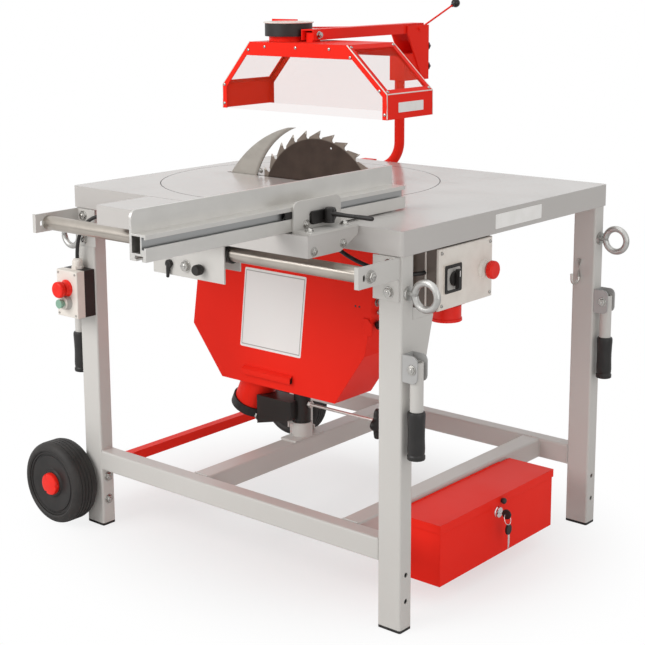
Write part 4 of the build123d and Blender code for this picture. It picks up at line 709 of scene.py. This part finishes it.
def eye_rings():
    """Forged rings of the four lifting eyes, a little thicker than the rod of their shanks."""
    rings = Shape()
    for x in EYE_ENDS:
        for y in LEG_ROWS:
            loop = []
            for step in range(49):
                angle = 2 * math.pi * step / 48
                loop.append((x + EYE_RADIUS * math.cos(angle), y, EYE_Z + EYE_RADIUS * math.sin(angle)))
            rings.rod(loop, 7.5, 20)
    piece("eye_rings", rings, "frame", galvanised)


def bare_plates():
    """Places for labels, left bare."""
    plate_piece("skirt_plate", "frame", white_plate, rounded(187, 32, 2),
                (1000, 426.5, 834), BEHIND, 0.5, 0.1)
    slanted = [(x + PLATE_SLANT * z, z) for x, z in rounded(204, 208, 4)]
    plate_piece("housing_plate", "saw_unit", bordered_plate, slanted,
                HOUSING_PLATE, RIGHT, 0.6, 0.15)
    plate_piece("hood_plate", "guard", white_plate, rounded(96, 23, 2),
                (700, 428, 1060), BEHIND, 0.5, 0.1)


# Blade unit
def blade_tips():
    """Hard-metal tips on the tooth faces."""
    tips = Shape()
    pitch = 2 * math.pi / TOOTH_COUNT
    for tooth in range(TOOTH_COUNT):
        angle = math.radians(10.4) + tooth * pitch
        turn = angle + 0.05 * pitch
        tip = Vector((199.8 * math.cos(angle), 199.8 * math.sin(angle)))
        root = Vector((189.0 * math.cos(turn), 189.0 * math.sin(turn)))
        down = (root - tip).normalized()
        into = Vector((-math.sin(angle), math.cos(angle)))
        corners = [tip, tip + 8 * down, tip + 7.4 * down + 2.4 * into, tip + 1.2 * down + 2.6 * into]
        tips.plate([tuple(corner) for corner in corners], (BLADE_X, 411.9, BLADE_Z), RIGHT, UP, 3.8, 0.2)
    piece("tooth_tips", tips, "blade", tip_metal)


def housing_trim():
    """Pressed ledge with a black sheet inside its open end as painted shade, side stop with its spring, and
    the screws round the housing.
    """
    ledge = Shape()
    fold = [(0, 379), (-12, 372), (-12, 358), (-10.5, 358), (-10.5, 371), (0, 377)]
    ledge.plate(fold, (240, HOUSING_FRONT, 0), BEHIND, UP, 165, 0.3)
    ledge.plate([(0, 0), (26, 0), (26, 30), (14, 42), (0, 42)], (632, 339.4, 520), RIGHT, UP, 3, 0.5)
    piece("housing_ledge", ledge, "saw_unit", red_paint)
    mouth = Shape()
    # Black sheet filling the hollow inside the ledge's open end: painted shade
    hollow = [(0, 377), (-10.5, 371), (-10.5, 358), (0, 358)]
    mouth.plate(hollow, (402, HOUSING_FRONT, 0), BEHIND, UP, 1, 0.1)
    for x in (606, 618):
        mouth.turned((x, 340.2, 587), AHEAD, [(0, 0), (2.6, 0), (2.6, 0.5), (1.8, 0.7), (0, 0.7)], 20)
    piece("ledge_mouth", mouth, "saw_unit", black_paint)
    screws = Shape()
    for x in (120, 250, 390, 530, 640):
        screws.pan_screw((x, 333, 851), (0, 0, -1), 5)
    screws.hex_bolt((655, 362, 600), RIGHT, 15, 7)
    coil = []
    for step in range(73):
        angle = 2 * math.pi * step / 12
        coil.append((658 + 16 * step / 72, 362 + 5.4 * math.cos(angle), 576 + 5.4 * math.sin(angle)))
    screws.rod(coil, 0.9, 8)
    screws.hex_bolt((244, 408.5, 873), AHEAD, 10, 4)
    screws.hex_bolt((259, 372, 236), LEFT, 15, 9)
    piece("housing_screws", screws, "saw_unit", zinc_plate)
    knob = [(0, 0), (7, 0), (7, 4), (11, 6), (11, 16), (9, 18), (0, 18.6)]
    turned_piece("side_knob", "saw_unit", black_plastic, (652, 362, 545), RIGHT, knob, 36,
                 lambda angle, along: 1 + (0.04 * math.cos(12 * angle) if along > 5 else 0))


def lock_screw():
    """Rod with a short thread, a nut at the sleeve and a lobed knob."""
    profile = [(0, 15.5), (4, 15.5)]
    for turn in range(16):
        start = 34 + 2.4 * turn
        profile += [(4, start), (3.6, start + 1.2)]
    profile += [(4, 74), (4, 247), (0, 247)]
    rod = Shape()
    base = (PIVOT_X, PIVOT_Y, LOCK_SCREW_Z)
    rod.turned(base, RIGHT, profile, 20)
    rod.turned(base, RIGHT, [(0, 24), (9.2, 24), (9.2, 32), (8, 33), (0, 33)], 6)
    piece("lock_rod", rod, "lock", rod_steel, ["lock_screw"])
    knob = [(0, 0), (14, 0), (16, 3), (34, 5), (38, 8), (38, 14), (35, 18), (18, 19.5), (0, 18)]
    turned_piece("lock_knob", "lock", black_plastic, (620, PIVOT_Y, LOCK_SCREW_Z), RIGHT,
                 knob, 84, lambda angle, along: 1 + (0.13 * math.cos(6 * angle) if 4 < along < 19 else 0),
                 ["lock_screw"])


def motor_details():
    """Cooling ribs, terminal box and fan grille."""
    ribs = Shape()
    for place in range(15):
        x = 361 + 10 * place
        for low, high in ((728.5, 724), (845.5, 850)):
            ribs.plate([(0, low), (150, low), (146, high), (4, high)], (x - 1.5, 500, 0), BEHIND, UP, 3, 0.3)
    for place in range(4):
        z = 769 + 12 * place
        for near, far in ((526.5, 532), (335.5, 330)):
            outline = [(near, 500), (near, 650), (far, 646), (far, 504)]
            ribs.plate(outline, (0, 0, z - 1.5), RIGHT, BEHIND, 3, 0.3)
    piece("motor_ribs", ribs, "saw_unit", motor_paint)
    box = Shape()
    box.plate(rounded(74, 62, 6), (330, 590, BLADE_Z), BEHIND, UP, -30, 2)
    box.plate(rounded(80, 68, 6), (300, 590, BLADE_Z), BEHIND, UP, -5, 1.5)
    box.turned((314, 590, 756), (0, 0, -1), [(0, 0), (11, 0), (11, 6), (8, 9), (8, 16), (0, 16)], 30)
    piece("terminal_box", box, "saw_unit", black_plastic)
    grille = Shape()
    for radius in (14, 24, 34, 44):
        ring = [(radius - 1.5, 0), (radius + 1.5, 0), (radius + 1.5, 3), (radius - 1.5, 3), (radius - 1.5, 0)]
        grille.turned((BLADE_X, 740, BLADE_Z), BEHIND, ring, 48)
    for spoke in range(6):
        angle = math.pi * spoke / 3
        ends = [(BLADE_X + reach * math.cos(angle), 742, BLADE_Z + reach * math.sin(angle))
                for reach in (13, 45)]
        grille.rod(ends, 1.8, 8)
    piece("fan_grille", grille, "saw_unit", black_plastic)


# Guard
def hood_trim():
    """Sheet edges that show as pale lines, screws along the strips, and the collar's lip."""
    edges = Shape()
    for y in HOOD_SIDES:
        for shoulder, x in ((582, HOOD_ENDS[1]), (275, HOOD_ENDS[0])):
            edges.rod([(shoulder, y, HOOD_TOP), (x, y, HOOD_BEND), (x, y, HOOD_RIM)], 1.5, 8)
    for x in HOOD_ENDS:
        edges.rod([(x, y, HOOD_BEND) for y in HOOD_SIDES], 1.5, 8)
    piece("pane_edges", edges, "guard", pale_plastic)
    screws = Shape()
    for y, toward in ((338, AHEAD), (514, BEHIND)):
        for x, z in ((272, 1180), (326, 1189), (425, 1189), (529, 1189), (592, 1172)):
            screws.pan_screw((x, y, z), toward, 3.8)
        for x, z in ((189, 1046), (190, 1092), (678, 1099), (693, 1046)):
            screws.pan_screw((x, y, z), toward, 3.8)
    for x, z, way in ((694, 1097.5, (0.675, 0, 0.738)), (588, 1194.5, (0.675, 0, 0.738)),
                      (187.2, 1098.1, (-0.758, 0, 0.653)), (270, 1194.2, (-0.758, 0, 0.653))):
        for y in (347, 505):
            screws.pan_screw((x, y, z), way, 3.8)
    screws.hex_bolt((424.5, 425, 1216), RIGHT, 13, 8)
    screws.hex_bolt((388.5, 425, 1216), LEFT, 13, 6)
    piece("hood_screws", screws, "guard", zinc_plate)
    lip = [(48, 0), (58, 0), (61.5, 1), (62, 2.4), (61, 3.6), (52, 3.6), (48, 2), (48, 0)]
    turned_piece("collar_lip", "guard", pale_plastic, (326, 426, 1243), UP, lip, 72)


def guard_handle():
    """The red rod that lifts the guard, and its ball."""
    start = Vector((GUARD_ROD_X, 917.5, 1210))
    end = Vector((GUARD_ROD_X, 1094, 1279))
    way = (end - start).normalized()
    rod = Shape()
    rod.rod([start, start + way * 60, start + way * 130, end - way * 8], 2.5, 20)
    rod.plate(rounded(36, 26, 2), (GUARD_ROD_X, 919, 1217), (0.995, 0.0995, 0), UP, 3, 0.6)
    piece("guard_rod", rod, "guard", red_paint, ["guard_lever"])
    profile = [(0, -19), (4.6, -19), (5.2, -15), (5.6, -11.2)]
    for step in range(1, 14):
        angle = math.radians(-64 + 154 * step / 13)
        profile.append((12.4 * math.cos(angle) if step < 13 else 0, 12.4 * math.sin(angle)))
    turned_piece("guard_ball", "guard", black_gloss, end, way, profile, 40,
                 replaces=["guard_lever"])


def bracket_bolts():
    """Black bolts of the guard's bracket and plated ones of the post's clamps."""
    bolts = Shape()
    for z in (1114, 1168):
        bolts.hex_bolt((378, 924, z), BEHIND, 19, 12)
    piece("guard_bolts", bolts, "frame", black_paint)
    pins = Shape()
    for x in (150, 245):
        pins.hex_bolt((x, 856, 840), BEHIND, 15, 7)
    piece("post_bolts", pins, "frame", zinc_plate)


# Front rail, support table and fence
def saddle_details():
    """Bushes on the rail, bolts, the ribbed clamping knob and the small stop lever."""
    bushes = Shape()
    ring = [(17.2, 0), (21.6, 0), (21.6, 17), (20.6, 18), (17.2, 18), (17.2, 0)]
    bushes.turned((606, RAIL_Y, RAIL_Z), RIGHT, ring, 44)
    bushes.turned((418, RAIL_Y, RAIL_Z), LEFT, ring, 44)
    piece("rail_bushes", bushes, "carriage", black_plastic)
    bolts = Shape()
    bolts.hex_bolt((506, SADDLE_FRONT, SADDLE_SCREW_Z), AHEAD, 19, 9)
    for y, z in ((-142, 828), (-52, 832)):
        bolts.hex_bolt((890, y, z), RIGHT, 13, 5)
        bolts.hex_bolt((270, y, z), LEFT, 13, 5)
    for y in (-130, -22):
        bolts.hex_bolt((868, y, 864), UP, 13, 6)
    bolts.hex_bolt((HOLDER_FACE, -113, 874), RIGHT, 13, 5)
    piece("carriage_bolts", bolts, "carriage", zinc_plate)
    knob = [(0, -2), (4, -2), (4, 2), (8, 2), (10.2, 5), (11.4, 8), (11.4, 20), (9.8, 23), (0, 23)]
    turned_piece("saddle_knob", "carriage_clamp", black_plastic,
                 (555, SADDLE_FRONT, SADDLE_SCREW_Z), AHEAD, knob, 72,
                 lambda angle, along: 1 + (0.035 * math.cos(18 * angle) if 6 < along < 21 else 0),
                 ["carriage_knob"])
    lever = Shape()
    profile = [(0, -3), (4, -3), (4, 0.4), (8.5, 0.4), (9, 1.4), (9, 7), (8, 8.2), (0, 8.4)]
    lever.turned((457, SADDLE_FRONT, SADDLE_SCREW_Z), AHEAD, profile, 36)
    path = [(457, -121.5, SADDLE_SCREW_Z), (456, -122.5, 735), (455, -123, 722), (454.6, -123, 716)]
    path.append((454.4, -123, 714.5))
    lever.rod(path, [5.6, 5, 3.8, 3.6, 2.4], 20)
    piece("saddle_lever", lever, "carriage_stop", black_plastic, ["carriage_lever"])


def fence_details():
    """The nut's end in the fence's slot, the clamping lever with its hub, and the block beneath it."""
    plate_piece("slot_nut_end", "carriage", black_plastic, rounded(20, 14, 1),
                (838.2, -160, 896), BEHIND, 2.6, 0.3)
    clamp = Shape()
    hub = [(5.1, 0), (11, 0), (11, 8), (10.4, 22), (8, 24.6), (0, 25)]
    clamp.turned((CLAMP_X, CLAMP_Y, 878.3), UP, hub, 44)
    path = [(CLAMP_X, CLAMP_Y), (878, -61), (905, -62), (930, -61)]
    clamp.rod([(x, y, CLAMP_LEVER_Z) for x, y in path], [6.5, 5, 4.2, 4.2], 20)
    grip = [(930, 4.2), (934, 4.4), (942, 4.6), (956, 4.9), (967, 4.9), (972, 4.2), (974, 2.2)]
    clamp.rod([(x, -60.5, CLAMP_LEVER_Z) for x, _ in grip], [radius for _, radius in grip], 24)
    piece("fence_clamp_lever", clamp, "fence_clamp", black_plastic, ["clamp_lever"])
    plate_piece("clamp_block", "carriage", black_plastic, rounded(76, 26, 5),
                (HOLDER_FACE, -65, 885), BEHIND, 7, 1.5)


# Switches, button box and cable
def switch_details():
    """The rotary switch, the stop button's collar, screws, seam and the power inlet's rim."""
    plate_piece("dial_frame", "frame", black_plastic, rounded(60, 60, 3),
                (999, DIAL_Y, DIAL_Z), BEHIND, 1.6, 0.5)
    plate_piece("dial_face", "frame", dial_grey, rounded(46, 46, 4),
                (1000.4, DIAL_Y, DIAL_Z), BEHIND, 0.7, 0.2)
    dial = Shape()
    profile = [(0, -6), (5, -6), (5, 1.9), (15.5, 1.9), (16, 3), (15, 8), (0, 8.4)]
    dial.turned((999.4, DIAL_Y, DIAL_Z), RIGHT, profile, 60)
    dial.plate([(-6, -21), (6, -21), (5, 21), (-5, 21)], (1007, DIAL_Y, DIAL_Z), BEHIND, UP, 10, 2)
    piece("dial_handle", dial, "dial", black_plastic, ["switch_dial"])
    plate_piece("dial_pointer", "dial", white_plate, rounded(2, 13, 0.8),
                (1016.7, DIAL_Y, DIAL_Z + 12), BEHIND, 0.5, 0.1)
    ring = [(8.3, 0), (20, 0), (20, 3), (17, 7), (16.6, 14.3), (8.3, 14.3), (8.3, 0)]
    turned_piece("stop_collar_right", "frame", pale_plastic, (SWITCH_FACE, 296, 737), RIGHT,
                 ring, 48)
    screws = Shape()
    for y in (142, 321):
        for z in (681, 793):
            screws.pan_screw((SWITCH_FACE, y, z), RIGHT, 4)
    piece("switch_screws", screws, "frame", zinc_plate)
    seam = Shape()
    for y, thick in ((131.6, 1.2), (331.4, -1.2)):
        seam.plate(rounded(4, 130, 0.6), (962, y, 737), RIGHT, UP, thick, 0.2)
    seam.plate(rounded(4, 197, 0.6), (962, 231.5, 803.2), RIGHT, BEHIND, 0.8, 0.2)
    piece("switch_seam", seam, "frame", pale_plastic)
    rim = [(27, 0), (34.4, 0), (35, 1), (34.6, 6), (33, 7), (27, 7), (27, 0)]
    turned_piece("inlet_rim", "frame", red_plastic, (950, 223, 630.5), UP, rim, 60)


def station_details():
    """Screws of the button box, the collars of its two buttons and the cable gland."""
    screws = Shape()
    for x in (-6, 55):
        for z in (552, 653):
            screws.pan_screw((x, STATION_FRONT, z), AHEAD, 3)
    piece("station_screws", screws, "frame", dial_grey)
    ring = [(8.3, 0), (21, 0), (21, 2.5), (18, 6), (17.2, 14.3), (8.3, 14.3), (8.3, 0)]
    turned_piece("stop_collar_left", "frame", red_plastic, (STATION_X, STATION_FRONT, 617),
                 AHEAD, ring, 48)
    ring = [(11.6, 9), (11.6, 11.8), (13, 13), (16.4, 12.4), (17.4, 4), (18.5, 0), (8.3, 0), (8.3, 9)]
    ring.append(ring[0])
    turned_piece("start_collar_left", "frame", dial_grey, (STATION_X, STATION_FRONT, 582),
                 AHEAD, ring, 48)
    gland = Shape()
    base = (STATION_X, GLAND_Y, GLAND_Z)
    gland.turned(base, UP, [(0, 0), (15, 0), (15, 6), (14, 7), (0, 7)], 6)
    profile = [(0, 6), (12.4, 6), (12.8, 8), (12.6, 17), (11.6, 22), (8, 25), (5.2, 26), (0, 26)]
    gland.turned(base, UP, profile, 40,
                 lambda angle, along: 1 + (0.02 * math.cos(16 * angle) if 7 < along < 18 else 0))
    piece("cable_gland", gland, "frame", pale_plastic)


def wire_hook():
    """A bent wire on the rear right leg, open at the top."""
    wire = Shape()
    path = [(772.4, 677), (772.4, 634), (770.5, 627), (765.5, 621.5), (758, 619.2), (750, 620.2)]
    path += [(743.4, 624.4), (739.6, 631), (738.8, 646)]
    wire.rod([(956, y, z) for y, z in path], 3.5, 16)
    piece("hook_wire", wire, "frame", rod_steel, ["cable_hook"])


CABLE_ROUTE = (CABLE_EXIT, (STATION_X, GLAND_Y, 735), (75, GLAND_Y, 792.5), (120, 24, 797), (165, 32, 825),
               (756, 32, 825), (828, 44, 777), (906, 74, 750.2), (959.5, 105.3, 750.2), (959.5, 132, 750.2))


def control_cable():
    """The lead from the button box to the switch box, and its clips behind the table's front skirt."""
    curve = bpy.data.curves.new("control_lead", "CURVE")
    curve.dimensions = "3D"
    spline = curve.splines.new("NURBS")
    spline.points.add(len(CABLE_ROUTE) - 1)
    for point, place in zip(spline.points, CABLE_ROUTE):
        point.co = (*spot(*place), 1.0)
    spline.order_u = 3
    spline.use_endpoint_u = True
    spline.resolution_u = 16
    curve.bevel_depth = CABLE_DIAMETER / 2 * MM
    curve.bevel_resolution = 5
    curve.materials.append(cable_rubber)
    lead = bpy.data.objects.new("control_lead", curve)
    bpy.context.scene.collection.objects.link(lead)
    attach(lead, "frame")
    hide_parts("control_cable")
    clips = Shape()
    for x in (230, 460, 690):
        clips.turned((x - 5, 32, 825), RIGHT, [(4.6, 0), (6.4, 0), (6.4, 10), (4.6, 10), (4.6, 0)], 24)
        clips.plate(rounded(10, 26, 1), (x, 32, 841), RIGHT, UP, 2.5, 0.3)
    piece("cable_clips", clips, "frame", black_plastic)


# Tool box
def box_details():
    """Lock, key, spare key on its ring, and the lid's stud."""
    barrel = [(2.4, 0), (13, 0), (13, 1.5), (12, 3), (11.8, 7.2), (6, 7.6), (2.4, 7.6), (2.4, 0)]
    turned_piece("lock_barrel", "frame", chrome, (983.5, BOX_LOCK_Y, BOX_LOCK_Z), RIGHT, barrel, 44)
    ring = Shape()
    loop = []
    for step in range(33):
        angle = 2 * math.pi * step / 32
        loop.append((1011.5 + 4 * math.cos(angle), BOX_LOCK_Y + 12 * math.sin(angle),
                     141 - 12 * math.cos(angle)))
    ring.rod(loop, 0.8, 8)
    blade = [(-3.5, 0), (3.5, 0), (3.5, -24), (2, -26), (2.6, -28), (1.2, -30), (2, -33), (-2, -36)]
    blade.append((-3.5, -34))
    ring.plate(blade, (1010.5, 394, 105), BEHIND, UP, 1.8, 0.3)
    piece("key_ring", ring, "frame", chrome)
    plate_piece("spare_key_head", "frame", black_plastic, rounded(20, 24, 8),
                (1008.6, 393, 115), BEHIND, 5, 1.2)
    shank = [(0, 0), (2.1, 0), (2.1, 20), (0, 20)]
    turned_piece("key_blade", "key", chrome, (981, BOX_LOCK_Y, BOX_LOCK_Z), RIGHT, shank, 20,
                 replaces=["box_key"])
    plate_piece("key_bow", "key", black_plastic, rounded(22, 22, 9),
                (1008.8, 390.6, BOX_LOCK_Z), RIGHT, 5.2, 1.4, ["box_key"])
    stud = [(0, 0), (5, 0), (5, 3), (7, 4.5), (7, 8), (5.5, 10), (0, 10.4)]
    turned_piece("lid_stud", "box_lid", black_plastic, (986, 402, 176), RIGHT, stud, 32)


# Stage: floor, lamps, sky and camera
def pale_floor():
    """A wide floor that is white to the eye but for the soft shadow under the saw."""
    mesh = bpy.data.meshes.new("floor")
    low = cad_box[0].z - FLOOR_DROP
    corners = [(x * FLOOR_HALF, y * FLOOR_HALF, low) for x, y in ((-1, -1), (1, -1), (1, 1), (-1, 1))]
    mesh.from_pydata(corners, [], [(0, 1, 2, 3)])
    floor = bpy.data.objects.new("floor", mesh)
    bpy.context.scene.collection.objects.link(floor)
    finish = Finish("floor_paper")
    seen = finish.node("ShaderNodeLightPath", output="Is Camera Ray")
    x = finish.along("X")
    y = (finish.along("Y") - SHADOW_MIDDLE) / SHADOW_BREADTH
    away = ((x * x + y * y) ** 0.5).between(*SHADOW_EDGE)
    finish.done(Base_Color=(0.9, 0.9, 0.9, 1.0), Roughness=0.9, Specular_IOR_Level=0.0)
    glow = finish.node("ShaderNodeEmission", None, (1.0, 1.0, 1.0, 1.0), 1.0)
    matte = Value(finish, finish.shader.outputs[0])
    share = seen * (FLOOR_GLOW + (1 - FLOOR_GLOW) * away)
    both = finish.node("ShaderNodeMixShader", None, share, matte, glow)
    finish.link(both, finish.tree.nodes["Material Output"].inputs["Surface"])
    mesh.materials.append(finish.material)


def white_sky():
    """White to the eye, in mirrors and through glass; a plain soft level as a light."""
    world = bpy.data.worlds.new("white_sky")
    bpy.context.scene.world = world
    sky = Shading(world)
    background = sky.tree.nodes["Background"]
    seen = sky.node("ShaderNodeLightPath", output="Is Camera Ray")
    for name in ("Is Glossy Ray", "Is Transmission Ray"):
        seen = seen.at_least(sky.node("ShaderNodeLightPath", output=name))
    sky.link((1.0, 1.0, 1.0, 1.0), background.inputs["Color"])
    sky.link(SKY_LIGHT + (1 - SKY_LIGHT) * seen, background.inputs["Strength"])


def soft_lamp(name, place, aim, size, power):
    """A square area lamp turned to the place that it lights."""
    lamp = bpy.data.lights.new(name, "AREA")
    lamp.shape = "SQUARE"
    lamp.size = size
    lamp.energy = power
    thing = bpy.data.objects.new(name, lamp)
    thing.location = place
    thing.rotation_euler = (Vector(aim) - Vector(place)).to_track_quat("-Z", "Y").to_euler()
    bpy.context.scene.collection.objects.link(thing)


def photo_camera():
    """The camera that frames the saw from its front right."""
    data = bpy.data.cameras.new("camera")
    data.sensor_fit = "HORIZONTAL"
    data.sensor_width = CAMERA_SENSOR
    data.lens = CAMERA_FOCAL / IMAGE * CAMERA_SENSOR
    data.shift_y = CAMERA_SHIFT
    camera = bpy.data.objects.new("camera", data)
    camera.location = Vector(CAMERA_PLACE) * MM
    azimuth = math.radians(CAMERA_AZIMUTH)
    elevation = math.radians(CAMERA_ELEVATION)
    back = Vector((math.sin(azimuth) * math.cos(elevation), -math.cos(azimuth) * math.cos(elevation),
                   math.sin(elevation)))
    turn = (-back).to_track_quat("-Z", "Y").to_matrix() @ Matrix.Rotation(math.radians(CAMERA_ROLL), 3, "Z")
    camera.rotation_euler = turn.to_euler()
    bpy.context.scene.collection.objects.link(camera)
    bpy.context.scene.camera = camera


paint_nodes()
wheel("front", -2, -1)
wheel("rear", 822, 1)
for place in HANDLE_PLACES:
    handle(*place)
handle_brackets()
frame_bolts()
weld_seams()
eye_rings()
bare_plates()
blade_tips()
housing_trim()
lock_screw()
motor_details()
hood_trim()
guard_handle()
bracket_bolts()
saddle_details()
fence_details()
switch_details()
station_details()
wire_hook()
control_cable()
box_details()
pale_floor()
white_sky()
for lamp in LAMPS:
    soft_lamp(*lamp)
photo_camera()
bpy.context.scene.view_settings.view_transform = "Standard"
